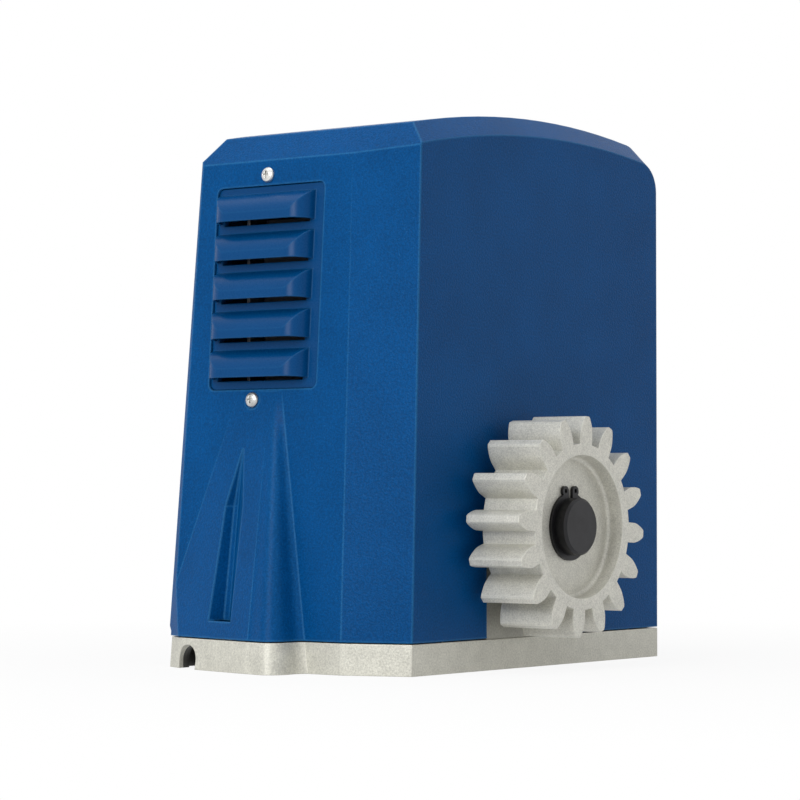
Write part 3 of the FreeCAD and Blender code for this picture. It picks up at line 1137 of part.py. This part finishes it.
def terminal_block():
    """Row of screw terminals along the board's lower edge."""
    y = board_y() + BOARD_T
    x0, x1 = BOARD_X[0] + 14, BOARD_X[1] - 14
    z = BOARD_Z[0] + 3
    body = prism([V(x0, y, z), V(x0, y + 11, z), V(x0, y + 11, z + 6), V(x0, y + 7, z + 12), V(x0, y, z + 12)],
                 V(x1 - x0, 0, 0))
    count = 12
    pitch = (x1 - x0) / count
    cuts = [box(x0 + pitch * (n + 0.5) - 2.6, x0 + pitch * (n + 0.5) + 2.6, y + 3, y + 9, z - 1, z + 5)
            for n in range(count)]
    return body.cut(cuts)


def power_supply():
    (x0, x1), (z0, z1) = SUPPLY_X, SUPPLY_Z
    y = BRACKET_Y + SHEET
    case = rounded_box(x0, x1, y, y + SUPPLY_T, z0, z1, 2.0, Y_AXIS)
    return case.cut([box(x0 + 12 + 6 * n, x0 + 15 + 6 * n, y + SUPPLY_T - 2, y + SUPPLY_T + 1, z0 + 10, z1 - 10)
                     for n in range(6)])


def foot_screws():
    return [bolt(x, y, 2.0, BASE_HEIGHT + FOOT_T, 4.0, 6.2, 7.0) for x, y in FOOT_BOLTS]


def lid_screws():
    y = BOX_Y[1] + GASKET + LID_T
    return [bolt_y(x, z, y - 16, y, 3.0, 5.0, 5.0) for x, z in LID_SCREWS]


def oil_plug():
    x = BOX_X[0]
    thread = rod_x(PLUG_Y, PLUG_Z, x, x + 6.0, 6.0)
    head = hexagon(0, 0, 0, 8.5, 6.0)
    head.rotate(V(0, 0, 0), Y_AXIS, -90)
    head.translate(V(x, PLUG_Y, PLUG_Z))
    return fuse(thread, head)


# ================================================================ build

OUTPUT = V(SHAFT_X, 0, SHAFT_Z)
ROTOR = V(WORM_X, WORM_Y, 0)
front_inner, front_outer = bearing(FRONT_BEARING, OUTPUT, Y_AXIS, JOURNAL_R)
rear_inner, rear_outer = bearing(REAR_BEARING, OUTPUT, Y_AXIS, TAIL_R)
low_inner, low_outer = bearing(LOW_BEARING, ROTOR, Z_AXIS, ROTOR_R)
mid_inner, mid_outer = bearing(MID_BEARING, ROTOR, Z_AXIS, ROTOR_R)
top_inner, top_outer = bearing(TOP_BEARING, ROTOR, Z_AXIS, ROTOR_TOP_R)

os.makedirs("parts", exist_ok=True)
save("base_plate", base_plate())
save("cable_grommet", cable_grommet())
save("gearbox_housing", gearbox_housing())
save("gearbox_lid", gearbox_lid())
save("gearbox_gasket", gearbox_gasket())
save("gearbox_foot_screws", *foot_screws())
save("gearbox_lid_screws", *lid_screws())
save("oil_plug", oil_plug())
save("output_oil_seal", oil_seal())
save("output_bearing_outers", front_outer, rear_outer)
save("output_bearing_inners", front_inner, rear_inner)
save("output_shaft", output_shaft())
save("pinion_key", pinion_key())
save("clutch_keys", *clutch_key_blocks(0.0))
save("wheel_bush", wheel_bush())
save("wheel_spacer", wheel_spacer())
save("worm_wheel", worm_wheel())
save("pinion", pinion())
save("pinion_circlip", circlip())
save("clutch_collar", clutch_collar())
save("shift_fork", shift_fork())
save("fork_guide_rod", guide_rod())
save("release_spindle", release_spindle())
save("release_handle", release_handle())
save("lock_barrel", lock_barrel())
save("rotor_shaft", rotor_shaft())
save("worm", worm())
save("armature_core", armature_core())
save("armature_winding", armature_winding())
save("commutator", commutator())
save("rotor_bearing_inners", low_inner, mid_inner, top_inner)
save("rotor_bearing_outers", low_outer, mid_outer, top_outer)
save("rotor_oil_seal", rotor_seal())
save("motor_flange", motor_flange())
save("motor_yoke", motor_yoke())
save("motor_magnets", *motor_magnets())
save("motor_top", motor_top())
save("brushes", *brushes())
save("brush_holders", *brush_holders())
save("motor_bolts", *motor_bolts())
save("encoder_disc", encoder_disc())
save("encoder_sensor", encoder_sensor())
save("bracket", bracket())
save("bracket_screws", *bracket_bolts())
save("battery", battery())
save("battery_tabs", *battery_tabs())
save("battery_strap", battery_strap())
save("circuit_board", circuit_board())
save("board_standoffs", *board_standoffs())
save("board_screws", *board_screws())
save("relays", *relays())
save("capacitors", *capacitors())
save("heat_sink", heat_sink())
save("processor", processor())
save("terminal_block", terminal_block())
save("power_supply", power_supply())
save("cover", cover())
save("vent_panel", vent_panel())
save("vent_screws", *vent_screws())
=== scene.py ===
"""Looks of the sliding gate motor: materials for each piece, the studio and the camera."""

import json
import math

import bpy
import numpy as np
from bpy.props import FloatProperty, FloatVectorProperty, PointerProperty
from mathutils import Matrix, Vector

bl_info = {
    "name": "Sliding gate motor",
    "version": (1, 0, 0),
    "blender": (4, 5, 0),
    "location": "View3D > Sidebar > Gate motor",
    "description": "Dresses the packed gate motor and sets its studio",
    "category": "Object",
}

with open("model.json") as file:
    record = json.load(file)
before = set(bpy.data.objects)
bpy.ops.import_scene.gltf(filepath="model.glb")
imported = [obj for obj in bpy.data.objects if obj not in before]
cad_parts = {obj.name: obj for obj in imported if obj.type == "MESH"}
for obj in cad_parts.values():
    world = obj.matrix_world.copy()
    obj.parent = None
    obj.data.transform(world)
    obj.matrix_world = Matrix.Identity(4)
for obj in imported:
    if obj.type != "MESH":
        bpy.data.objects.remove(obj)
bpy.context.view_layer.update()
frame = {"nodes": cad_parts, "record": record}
NODES = frame["nodes"]
MM = 0.001
EDGE_STARTS, EDGE_FADES = 0.0003, 0.0035    # turn of the rounded normal, as one minus its cosine


# ---------------------------------------------------------------- shader maths

class Sock:
    """A shader value: arithmetic on it adds the Math nodes."""

    def __init__(self, shader, socket):
        self.shader, self.socket = shader, socket

    def math(self, operation, *others):
        return self.shader.node("ShaderNodeMath", {"operation": operation}, self, *others)

    def __add__(self, other):
        return self.math("ADD", other)

    def __sub__(self, other):
        return self.math("SUBTRACT", other)

    def __rsub__(self, other):
        return self.shader.node("ShaderNodeMath", {"operation": "SUBTRACT"}, other, self)

    def __mul__(self, other):
        return self.math("MULTIPLY", other)

    def __truediv__(self, other):
        return self.math("DIVIDE", other)

    def clamp(self):
        return self.shader.node("ShaderNodeMath", {"operation": "MULTIPLY", "use_clamp": True}, self, 1.0)

    def above(self, level, soft):
        """0 below level, 1 past level + soft."""
        return ((self - level) / soft).clamp()

    __radd__, __rmul__ = __add__, __mul__


class Shader:
    """One material, built by calls. Values are numbers, colours or Socks."""

    def __init__(self, name, world_tree=None):
        if not world_tree:
            self.material = bpy.data.materials.new(name)
            self.material.use_nodes = True
        self.tree = world_tree or self.material.node_tree
        self.tree.nodes.clear()
        self.out = self.tree.nodes.new("ShaderNodeOutputWorld" if world_tree else "ShaderNodeOutputMaterial")
        self.object_coords = None

    def node(self, kind, settings=None, *inputs, out=0, **named):
        made = self.tree.nodes.new(kind)
        for key, value in (settings or {}).items():
            setattr(made, key, value)
        for key, value in list(enumerate(inputs)) + [(k.replace("_", " "), v) for k, v in named.items()]:
            if value is not None:
                self.plug(made.inputs[key], value)
        return Sock(self, made.outputs[out])

    def plug(self, socket, value):
        if isinstance(value, Sock):
            self.tree.links.new(value.socket, socket)
        elif isinstance(value, (tuple, list)) and len(value) == 3 and socket.type == "RGBA":
            socket.default_value = (*value, 1.0)
        else:
            socket.default_value = value

    def place(self, scale=(1, 1, 1)):
        """Object coordinates, scaled per axis."""
        if self.object_coords is None:
            self.object_coords = self.node("ShaderNodeTexCoord", out=3)
        if tuple(scale) == (1, 1, 1):
            return self.object_coords
        return self.node("ShaderNodeMapping", {}, self.object_coords, Scale=scale)

    def noise(self, size, detail=2.0, stretch=(1, 1, 1), rough=0.5):
        """Noise whose blobs are about size millimetres across."""
        return self.node("ShaderNodeTexNoise", {}, Vector=self.place(stretch), Scale=1.0 / (size * MM),
                         Detail=detail, Roughness=rough)

    def grains(self, size):
        """Distance to the nearest of scattered points about size millimetres apart."""
        return self.node("ShaderNodeTexVoronoi", {}, Vector=self.place(), Scale=1.0 / (size * MM))

    def mix(self, factor, first, second):
        """Colour mix."""
        made = self.tree.nodes.new("ShaderNodeMix")
        made.data_type = "RGBA"
        self.plug(made.inputs[0], factor)
        self.plug(made.inputs[6], first)
        self.plug(made.inputs[7], second)
        return Sock(self, made.outputs[2])

    def bump(self, height, depth, edge=0.0):
        """Bump of a depth in millimetres, over edges rounded by edge millimetres."""
        made = self.tree.nodes.new("ShaderNodeBump")
        made.inputs["Strength"].default_value = 1.0
        made.inputs["Distance"].default_value = depth * MM
        self.plug(made.inputs["Height"], height)
        if edge:
            self.plug(made.inputs["Normal"], self.round_edges(edge))
        return Sock(self, made.outputs[0])

    def round_edges(self, edge):
        return self.node("ShaderNodeBevel", {"samples": 6}, Radius=edge * MM)

    def near_edge(self, edge):
        """1 on an edge, 0 further than edge millimetres from one."""
        straight = self.node("ShaderNodeNewGeometry", out=1)
        turned = self.node("ShaderNodeVectorMath", {"operation": "DOT_PRODUCT"}, self.round_edges(edge),
                           straight, out=1)
        return (1 - turned).above(EDGE_STARTS, EDGE_FADES)

    def within(self, low, high):
        """1 inside a box given in millimetres, 0 outside."""
        spot = self.place()
        inside = 1.0
        for axis, (a, b) in enumerate(zip(low, high)):
            along = self.node("ShaderNodeSeparateXYZ", {}, spot, out=axis)
            inside = along.math("GREATER_THAN", a * MM) * along.math("LESS_THAN", b * MM) * inside
        return inside

    def finish(self, color, roughness, metallic, normal, specular=0.5):
        bsdf = self.tree.nodes.new("ShaderNodeBsdfPrincipled")
        self.plug(bsdf.inputs["Base Color"], color)
        self.plug(bsdf.inputs["Roughness"], roughness)
        self.plug(bsdf.inputs["Metallic"], metallic)
        bsdf.inputs["Specular IOR Level"].default_value = specular
        self.plug(bsdf.inputs["Normal"], normal)
        self.tree.links.new(bsdf.outputs[0], self.out.inputs[0])
        return self.material


# ---------------------------------------------------------------- finishes

def moulded(name, color, grain=0.55, depth=0.05, roughness=0.5, edge=1.2, mottle=0.12, specular=0.3,
            painted_edge_highlight=0.0, painted_glint=0.0):
    """Moulded plastic: fine leathery grain with painted glints, faint mottling and painted highlights on
    edges.
    """
    s = Shader(name)
    fine, cloud = s.noise(grain, 2.5, rough=0.6), s.noise(38.0, 2.0)
    dark = tuple(c * (1 - mottle) for c in color)
    light = tuple(min(c * (1 + mottle), 1.0) for c in color)
    # Pale colour of the painted glints and painted edge highlights.
    painted_highlight_tint = tuple(min(1.15 * c ** 0.72 + 0.03, 1.0) for c in color)
    tint = s.mix(cloud.above(0.35, 0.3) * 0.3 + fine.above(0.36, 0.28) * 0.7, dark, light)
    # Painted glints: pale points mixed into the colour on a fine noise.
    if painted_glint:
        tint = s.mix(s.noise(grain * 0.8, 3.0, rough=0.7).above(0.60, 0.12) * painted_glint, tint, painted_highlight_tint)
    # Painted highlight: pale colour along edges, stronger where the grain is high.
    if painted_edge_highlight:
        tint = s.mix(s.near_edge(edge) * (0.4 + fine * 1.1) * painted_edge_highlight, tint, painted_highlight_tint)
    return s.finish(tint, fine * 0.16 + (roughness - 0.08), 0.0, s.bump(fine, depth, edge), specular=specular)


def cast(name, color, shade=1.0, speck=0.9, metallic=0.55, roughness=0.5, edge=0.8, depth=0.12,
         painted_shade_boxes=()):
    """Blasted casting: light and dark specks, a pebbled skin, painted highlights on edges and painted shade
    in hollows.
    """
    s = Shader(name)
    color = tuple(shade * c for c in color)
    fine, coarse = s.noise(speck, 3.0, rough=0.65), s.noise(speck * 9, 2.0)
    dots = s.grains(speck * 1.3)
    dark, light = tuple(c * 0.76 for c in color), tuple(min(c * 1.22, 1.0) for c in color)
    tint = s.mix(fine.above(0.34, 0.32) * 0.75 + coarse.above(0.3, 0.4) * 0.25, dark, light)
    tint = s.mix((0.16 - dots).above(0.0, 0.08) * 0.3, tint, tuple(c * 0.7 for c in color))
    # Painted highlight: lighter colour along edges.
    tint = s.mix(s.near_edge(edge) * 0.35, tint, tuple(min(c * 1.25, 1.0) for c in color))
    # Painted shade: near-black colour inside the given boxes, where the hollows get little light.
    for low, high in painted_shade_boxes:
        tint = s.mix(s.within(low, high) * 0.95, tint, tuple(c * 0.03 for c in color))
    height = fine + dots * 0.3
    return s.finish(tint, fine * 0.22 + (roughness - 0.11), metallic, s.bump(height, depth, edge))


def turned_metal(name, color, roughness=0.35, metallic=0.95, tone=0.2):
    """Machined metal: fine turning marks and a faint stain."""
    s = Shader(name)
    marks, stain = s.noise(0.25, 2.0, stretch=(1, 3, 1)), s.noise(7.0, 3.0)
    dark, light = tuple(c * (1 - tone) for c in color), tuple(min(c * (1 + tone), 1.0) for c in color)
    tint = s.mix(stain.above(0.35, 0.3), dark, light)
    # Painted highlight: lighter colour along edges.
    tint = s.mix(s.near_edge(0.3) * 0.3, tint, tuple(min(c * 1.4 + 0.03, 1.0) for c in color))
    rough = marks * 0.15 + (roughness - 0.07) + stain * 0.06
    return s.finish(tint, rough, metallic, s.bump(marks, 0.008, 0.3))


def banded(name, color, gap_color, pitch, roughness=0.45, metallic=0.6, depth=0.2):
    """Stack or winding: fine bands across Z, pitch millimetres apart."""
    s = Shader(name)
    bands = s.node("ShaderNodeTexWave", {"bands_direction": "Z"}, Vector=s.place(),
                   Scale=0.05 * 2 * math.pi / (pitch * MM), Distortion=0.4, Detail=1.0)
    fine = s.noise(1.2, 2.0)
    tint = s.mix(bands.above(0.15, 0.5), gap_color, color)
    tint = s.mix(fine.above(0.45, 0.3) * 0.35, tint, tuple(c * 0.7 for c in color))
    return s.finish(tint, fine * 0.2 + (roughness - 0.1), metallic, s.bump(bands, depth, 0.3))


def laminate(name, color):
    """Solder resist over glass cloth: copper tracks on a grid, each ending in pads."""
    s = Shader(name)
    x, _, z = (s.node("ShaderNodeSeparateXYZ", {}, s.place(), out=i) for i in range(3))
    lane = s.node("ShaderNodeTexVoronoi", {"distance": "CHEBYCHEV"}, Vector=s.place((1, 0, 0.18)),
                  Scale=1 / (3.2 * MM), Randomness=0.9, out=1)
    rows = ((z / (2.54 * MM)).math("FRACT") - 0.5).math("ABSOLUTE")
    columns = ((x / (2.54 * MM)).math("FRACT") - 0.5).math("ABSOLUTE")
    shade = s.node("ShaderNodeSeparateColor", {}, lane, out=0)
    track = shade.above(0.55, 0.02) * (0.20 - rows).above(0, 0.03)
    pads = (0.14 - rows.math("MAXIMUM", columns)).above(0, 0.03) * shade.above(0.4, 0.05)
    weave = s.noise(0.9, 1.0)
    tint = s.mix(track * 0.7, s.mix(weave.above(0.4, 0.3), tuple(c * 0.85 for c in color), color),
                 tuple(min(c * 1.9 + 0.01, 1.0) for c in color))
    tint = s.mix(pads, tint, (0.60, 0.60, 0.58))
    return s.finish(tint, weave * 0.1 + 0.28, pads * 0.9, s.bump(track + pads, 0.04))


# Boxes in millimetres, each from its low to its high corner, inside which the base gets painted shade in its
# hollows.
BASE_PAINTED_SHADE = (((-98, -66, -5), (108, 66, 9.6)),         # under the deck
                ((-109.5, -20, -5), (-90, 69, 9.6)),      # under the vent end
                ((-112, 44, -5), (-100, 62, 12.2)))       # behind the cable notch

# Each slot's kind of finish, its colour or the name of a colour setting, and its values.
FINISHES = {
    "cast_aluminium": (cast, "casting", dict(metallic=0.25, edge=0.9, painted_shade_boxes=BASE_PAINTED_SHADE)),
    "gearbox_casting": (cast, "casting", dict(shade=0.62, speck=1.1, metallic=0.4, roughness=0.55)),
    "pinion_steel": (cast, "pinion", dict(speck=0.75, metallic=0.25, roughness=0.42, depth=0.14)),
    "black_steel": (turned_metal, (0.018, 0.018, 0.020), dict(roughness=0.38, metallic=0.6)),
    "bright_steel": (turned_metal, (0.50, 0.50, 0.51), dict(roughness=0.28)),
    "zinc_screws": (turned_metal, (0.62, 0.62, 0.60), dict(roughness=0.30, metallic=0.9, tone=0.25)),
    "bronze": (turned_metal, (0.52, 0.31, 0.10), dict(roughness=0.33)),
    "cover_blue": (moulded, "cover", dict(grain=1.0, depth=0.20, roughness=0.38, edge=1.4, mottle=0.22,
                                          specular=0.07, painted_edge_highlight=0.5, painted_glint=0.35)),
    "vent_blue": (moulded, "vent", dict(grain=0.5, depth=0.02, roughness=0.28, edge=1.0, mottle=0.06,
                                        specular=0.12, painted_edge_highlight=0.2)),
    "black_rubber": (moulded, (0.016, 0.016, 0.017), dict(grain=0.8, depth=0.03, roughness=0.62, edge=0.4)),
    "gasket_paper": (moulded, (0.12, 0.15, 0.10), dict(grain=1.5, depth=0.04, roughness=0.8, edge=0.1)),
    "motor_paint": (moulded, (0.022, 0.022, 0.024), dict(grain=0.9, depth=0.03, roughness=0.34, edge=0.8,
                                                         painted_edge_highlight=0.3)),
    "lamination": (banded, (0.30, 0.29, 0.28), dict(gap_color=(0.10, 0.10, 0.10), pitch=0.8, roughness=0.4,
                                                    metallic=0.9)),
    "copper": (banded, (0.50, 0.20, 0.07), dict(gap_color=(0.24, 0.08, 0.03), pitch=1.0, roughness=0.32,
                                                metallic=0.8, depth=0.3)),
    "magnet": (moulded, (0.05, 0.05, 0.055), dict(grain=0.7, depth=0.03, roughness=0.55, edge=0.3)),
    "carbon": (moulded, (0.02, 0.02, 0.02), dict(grain=0.5, depth=0.02, roughness=0.5, edge=0.2)),
    "sheet_metal": (cast, (0.44, 0.45, 0.46), dict(speck=6.0, metallic=0.85, roughness=0.38, edge=0.4,
                                                   depth=0.01)),
    "black_plastic": (moulded, (0.018, 0.018, 0.019), dict(grain=0.6, depth=0.03, roughness=0.42, edge=0.6,
                                                           painted_edge_highlight=0.3)),
    "white_plastic": (moulded, (0.62, 0.62, 0.58), dict(grain=0.6, depth=0.02, roughness=0.45, edge=0.3)),
    "battery_grey": (moulded, (0.045, 0.046, 0.05), dict(grain=0.7, depth=0.05, roughness=0.5, edge=1.0,
                                                         painted_edge_highlight=0.3)),
    "lead_tabs": (turned_metal, (0.46, 0.46, 0.44), dict(roughness=0.4)),
    "webbing": (banded, (0.035, 0.035, 0.038), dict(gap_color=(0.010, 0.010, 0.011), pitch=1.2,
                                                    roughness=0.8)),
    "board_green": (laminate, (0.012, 0.10, 0.035), {}),
    "relay_blue": (moulded, (0.02, 0.09, 0.36), dict(grain=0.6, depth=0.02, roughness=0.4, edge=0.5)),
    "terminal_green": (moulded, (0.03, 0.24, 0.09), dict(grain=0.6, depth=0.02, roughness=0.45, edge=0.4)),
    "black_aluminium": (cast, (0.03, 0.03, 0.033), dict(speck=0.6, metallic=0.5, roughness=0.45, edge=0.3,
                                                        depth=0.02)),
}
SLOT_OF = {part["node"]: part["material_slot"] for part in frame["record"]["subparts"]}
MADE = {}


def finish_of(slot):
    """The slot's material, made the first time it is asked for."""
    if slot not in MADE:
        kind, color, values = FINISHES[slot]
        if isinstance(color, str):
            color = tuple(getattr(bpy.context.scene.gate_motor_colors, color))
        MADE[slot] = kind(slot + "_finish", color, **values)
    return MADE[slot]


def dress(*nodes):
    """Gives CAD nodes the materials of their slots."""
    for node in nodes:
        mesh = NODES[node].data
        mesh.materials.clear()
        mesh.materials.append(finish_of(SLOT_OF[node]))
    return {"FINISHED"}


# ---------------------------------------------------------------- settings

class GateMotorColors(bpy.types.PropertyGroup):
    """Colours that someone who reuses the motor would change."""
    cover: FloatVectorProperty(name="Cover", description="Moulded cover", subtype="COLOR", min=0, max=1,
                               default=(0.0003, 0.0660, 0.2250))
    vent: FloatVectorProperty(name="Vent", description="Louvred panel", subtype="COLOR", min=0, max=1,
                              default=(0.0003, 0.0560, 0.1900))
    casting: FloatVectorProperty(name="Base", description="Cast base and gearbox", subtype="COLOR", min=0,
                                 max=1, default=(0.60, 0.59, 0.52))
    pinion: FloatVectorProperty(name="Pinion", description="Blasted pinion", subtype="COLOR", min=0, max=1,
                                default=(0.66, 0.65, 0.585))


class GateMotorStudio(bpy.types.PropertyGroup):
    """Sizes of the studio."""
    lens: FloatProperty(name="Lens", description="Focal length on a 36 mm sensor", default=132.4, min=20,
                        max=400)
    key: FloatProperty(name="Key light", description="Power of the light beyond the vent end", default=6.4,
                       min=0)
    side: FloatProperty(name="Side light", description="Power of the light on the gate side", default=0.8,
                        min=0)
    top: FloatProperty(name="Top light", description="Power of the overhead light", default=15.0, min=0)
    ambient: FloatProperty(name="Ambient", description="Strength of the surrounding light", default=0.42,
                           min=0)


# ---------------------------------------------------------------- operators

class GATEMOTOR_OT_base(bpy.types.Operator):
    """Dresses the cast base and its grommet"""
    bl_idname = "gatemotor.base"
    bl_label = "Base"

    def execute(self, context):
        return dress("base_plate", "cable_grommet")


class GATEMOTOR_OT_cover(bpy.types.Operator):
    """Dresses the moulded cover, its louvred panel and screws"""
    bl_idname = "gatemotor.cover"
    bl_label = "Cover and vent"

    def execute(self, context):
        return dress("cover", "vent_panel", "vent_screws")


class GATEMOTOR_OT_pinion(bpy.types.Operator):
    """Dresses the pinion and the shaft that carries it"""
    bl_idname = "gatemotor.pinion"
    bl_label = "Pinion and shaft"

    def execute(self, context):
        return dress("pinion", "pinion_circlip", "pinion_key", "output_shaft")


class GATEMOTOR_OT_gearbox(bpy.types.Operator):
    """Dresses the gearbox casting, its lid, seals, bearings and screws"""
    bl_idname = "gatemotor.gearbox"
    bl_label = "Gearbox"

    def execute(self, context):
        return dress("gearbox_housing", "gearbox_lid", "gearbox_gasket", "gearbox_foot_screws",
                     "gearbox_lid_screws", "oil_plug", "output_oil_seal", "output_bearing_outers",
                     "output_bearing_inners", "rotor_oil_seal", "rotor_bearing_outers",
                     "rotor_bearing_inners")


class GATEMOTOR_OT_gears(bpy.types.Operator):
    """Dresses the worm, its wheel and the clutch"""
    bl_idname = "gatemotor.gears"
    bl_label = "Worm gear and clutch"

    def execute(self, context):
        return dress("worm", "worm_wheel", "wheel_bush", "wheel_spacer", "clutch_keys", "clutch_collar",
                     "shift_fork", "fork_guide_rod")


class GATEMOTOR_OT_release(bpy.types.Operator):
    """Dresses the manual release"""
    bl_idname = "gatemotor.release"
    bl_label = "Manual release"

    def execute(self, context):
        return dress("release_spindle", "release_handle", "lock_barrel")


class GATEMOTOR_OT_motor(bpy.types.Operator):
    """Dresses the motor and its encoder"""
    bl_idname = "gatemotor.motor"
    bl_label = "Motor"

    def execute(self, context):
        return dress("rotor_shaft", "armature_core", "armature_winding", "commutator", "motor_flange",
                     "motor_yoke", "motor_magnets", "motor_top", "brushes", "brush_holders", "motor_bolts",
                     "encoder_disc", "encoder_sensor")


class GATEMOTOR_OT_electronics(bpy.types.Operator):
    """Dresses the bracket, the battery, the circuit board and the power supply"""
    bl_idname = "gatemotor.electronics"
    bl_label = "Battery and board"

    def execute(self, context):
        return dress("bracket", "bracket_screws", "battery", "battery_tabs", "battery_strap", "circuit_board",
                     "board_standoffs", "board_screws", "relays", "capacitors", "heat_sink", "processor",
                     "terminal_block", "power_supply")


# ---------------------------------------------------------------- studio

CAMERA_PLACE = (-1.2028, -0.9139, 0.0902)   # metres
CAMERA_TILT, CAMERA_YAW = 1.66, 52.42       # degrees above the horizon and from +Y towards +X
SENSOR = 36.0                               # millimetres
FLOOR_YAW = 52.4                            # degrees: the floor runs away from the camera
FLOOR_GAP = 0.0002                          # metres between the base and the floor
MIDDLE = (0.0, -0.02, 0.13)                 # metres: where the lights point


def area_light(name, size, power, position, target):
    data = bpy.data.lights.new(name, "AREA")
    data.shape, data.size, data.energy = "SQUARE", size, power
    lamp = bpy.data.objects.new(name, data)
    lamp.location = position
    lamp.rotation_euler = (Vector(target) - Vector(position)).to_track_quat("-Z", "Y").to_euler()
    bpy.context.scene.collection.objects.link(lamp)


def studio_floor():
    """Floor that curves up into a backdrop: a straight, an arc and a straight."""
    near, flat, radius, height, half, steps = 3.5, 2.2, 1.0, 2.6, 4.5, 24
    arc = np.linspace(0, math.pi / 2, steps)
    along = np.concatenate([[-near], flat + radius * np.sin(arc), [flat + radius]])
    up = np.concatenate([[0.0], radius * (1 - np.cos(arc)), [radius + height]])
    yaw = math.radians(FLOOR_YAW)
    ahead, right = np.array([math.sin(yaw), math.cos(yaw)]), np.array([math.cos(yaw), -math.sin(yaw)])
    rows = np.concatenate([np.stack([*(ahead[:, None] * along + right[:, None] * side), up], axis=1)
                           for side in (-half, half)])
    rows[:, 2] -= FLOOR_GAP
    n = len(along)
    first = np.arange(n - 1)
    quads = np.stack([first, first + n, first + n + 1, first + 1], axis=1)
    mesh = bpy.data.meshes.new("floor")
    mesh.from_pydata(rows.tolist(), [], quads.tolist())
    mesh.polygons.foreach_set("use_smooth", [True] * len(mesh.polygons))
    floor = bpy.data.objects.new("floor", mesh)
    bpy.context.scene.collection.objects.link(floor)
    s = Shader("floor")
    lit = s.node("ShaderNodeBsdfDiffuse", {}, (0.80, 0.80, 0.80))
    glow = s.node("ShaderNodeEmission", {}, (1.0, 1.0, 1.0), 1.0)
    away = s.node("ShaderNodeVectorMath", {"operation": "LENGTH"}, s.place(), out=1)
    white = away.above(0.15, 0.35) * 0.1 + 0.9
    s.plug(s.out.inputs[0], s.node("ShaderNodeMixShader", {}, seen_rays(s) * white, lit, glow))
    mesh.materials.append(s.material)


def surround(world, ambient):
    """White all round: at strength 1 where it shows, at the ambient strength where it lights."""
    world.use_nodes = True
    s = Shader("surround", world.node_tree)
    s.plug(s.out.inputs[0], s.node("ShaderNodeBackground", {}, (1.0, 1.0, 1.0),
                                   seen_rays(s) * (1 - ambient) + ambient))


def seen_rays(s):
    """1 for rays that show the backdrop: from the camera, off gloss and through glass."""
    path = s.tree.nodes.new("ShaderNodeLightPath")
    camera, gloss, through = (Sock(s, path.outputs[f"Is {kind} Ray"])
                              for kind in ("Camera", "Glossy", "Transmission"))
    return (camera + gloss + through).clamp()


class GATEMOTOR_OT_stage(bpy.types.Operator):
    """Makes the floor, the lights and the camera"""
    bl_idname = "gatemotor.stage"
    bl_label = "Set the studio"

    def execute(self, context):
        scene, studio = context.scene, context.scene.gate_motor_studio
        scene.view_settings.view_transform = "Standard"
        studio_floor()
        for name, size, power, position in (("key", 0.5, studio.key, (-1.2, -0.12, 0.55)),
                                            ("side", 0.5, studio.side, (1.0, -1.2, 0.5)),
                                            ("top", 1.6, studio.top, (-0.2, 0.1, 1.8))):
            area_light(name, size, power, position, MIDDLE)
        scene.world = bpy.data.worlds.new("studio")
        surround(scene.world, studio.ambient)
        camera = bpy.data.objects.new("camera", bpy.data.cameras.new("camera"))
        camera.data.lens, camera.data.sensor_width = studio.lens, SENSOR
        camera.data.clip_start, camera.data.clip_end = 0.05, 20.0
        camera.location = CAMERA_PLACE
        camera.rotation_euler = (math.radians(90 + CAMERA_TILT), 0.0, math.radians(-CAMERA_YAW))
        scene.collection.objects.link(camera)
        scene.camera = camera
        return {"FINISHED"}


class GATEMOTOR_PT_panel(bpy.types.Panel):
    """Lists the operators and settings"""
    bl_idname = "GATEMOTOR_PT_panel"
    bl_label = "Gate motor"
    bl_space_type = "VIEW_3D"
    bl_region_type = "UI"
    bl_category = "Gate motor"

    def draw(self, context):
        layout = self.layout
        for step in STEPS:
            layout.operator(step.bl_idname)
        for settings in (context.scene.gate_motor_colors, context.scene.gate_motor_studio):
            for name in settings.__annotations__:
                layout.prop(settings, name)


STEPS = (GATEMOTOR_OT_stage, GATEMOTOR_OT_base, GATEMOTOR_OT_cover, GATEMOTOR_OT_pinion, GATEMOTOR_OT_gearbox,
         GATEMOTOR_OT_gears, GATEMOTOR_OT_release, GATEMOTOR_OT_motor, GATEMOTOR_OT_electronics)
CLASSES = (GateMotorColors, GateMotorStudio, *STEPS, GATEMOTOR_PT_panel)


def register():
    for cls in CLASSES:
        bpy.utils.register_class(cls)
    bpy.types.Scene.gate_motor_colors = PointerProperty(type=GateMotorColors)
    bpy.types.Scene.gate_motor_studio = PointerProperty(type=GateMotorStudio)


def unregister():
    del bpy.types.Scene.gate_motor_colors
    del bpy.types.Scene.gate_motor_studio
    for cls in reversed(CLASSES):
        bpy.utils.unregister_class(cls)


def main():
    register()
    for step in STEPS:
        area, name = step.bl_idname.split(".")
        getattr(getattr(bpy.ops, area), name)()


if __name__ == "__main__":
    main()
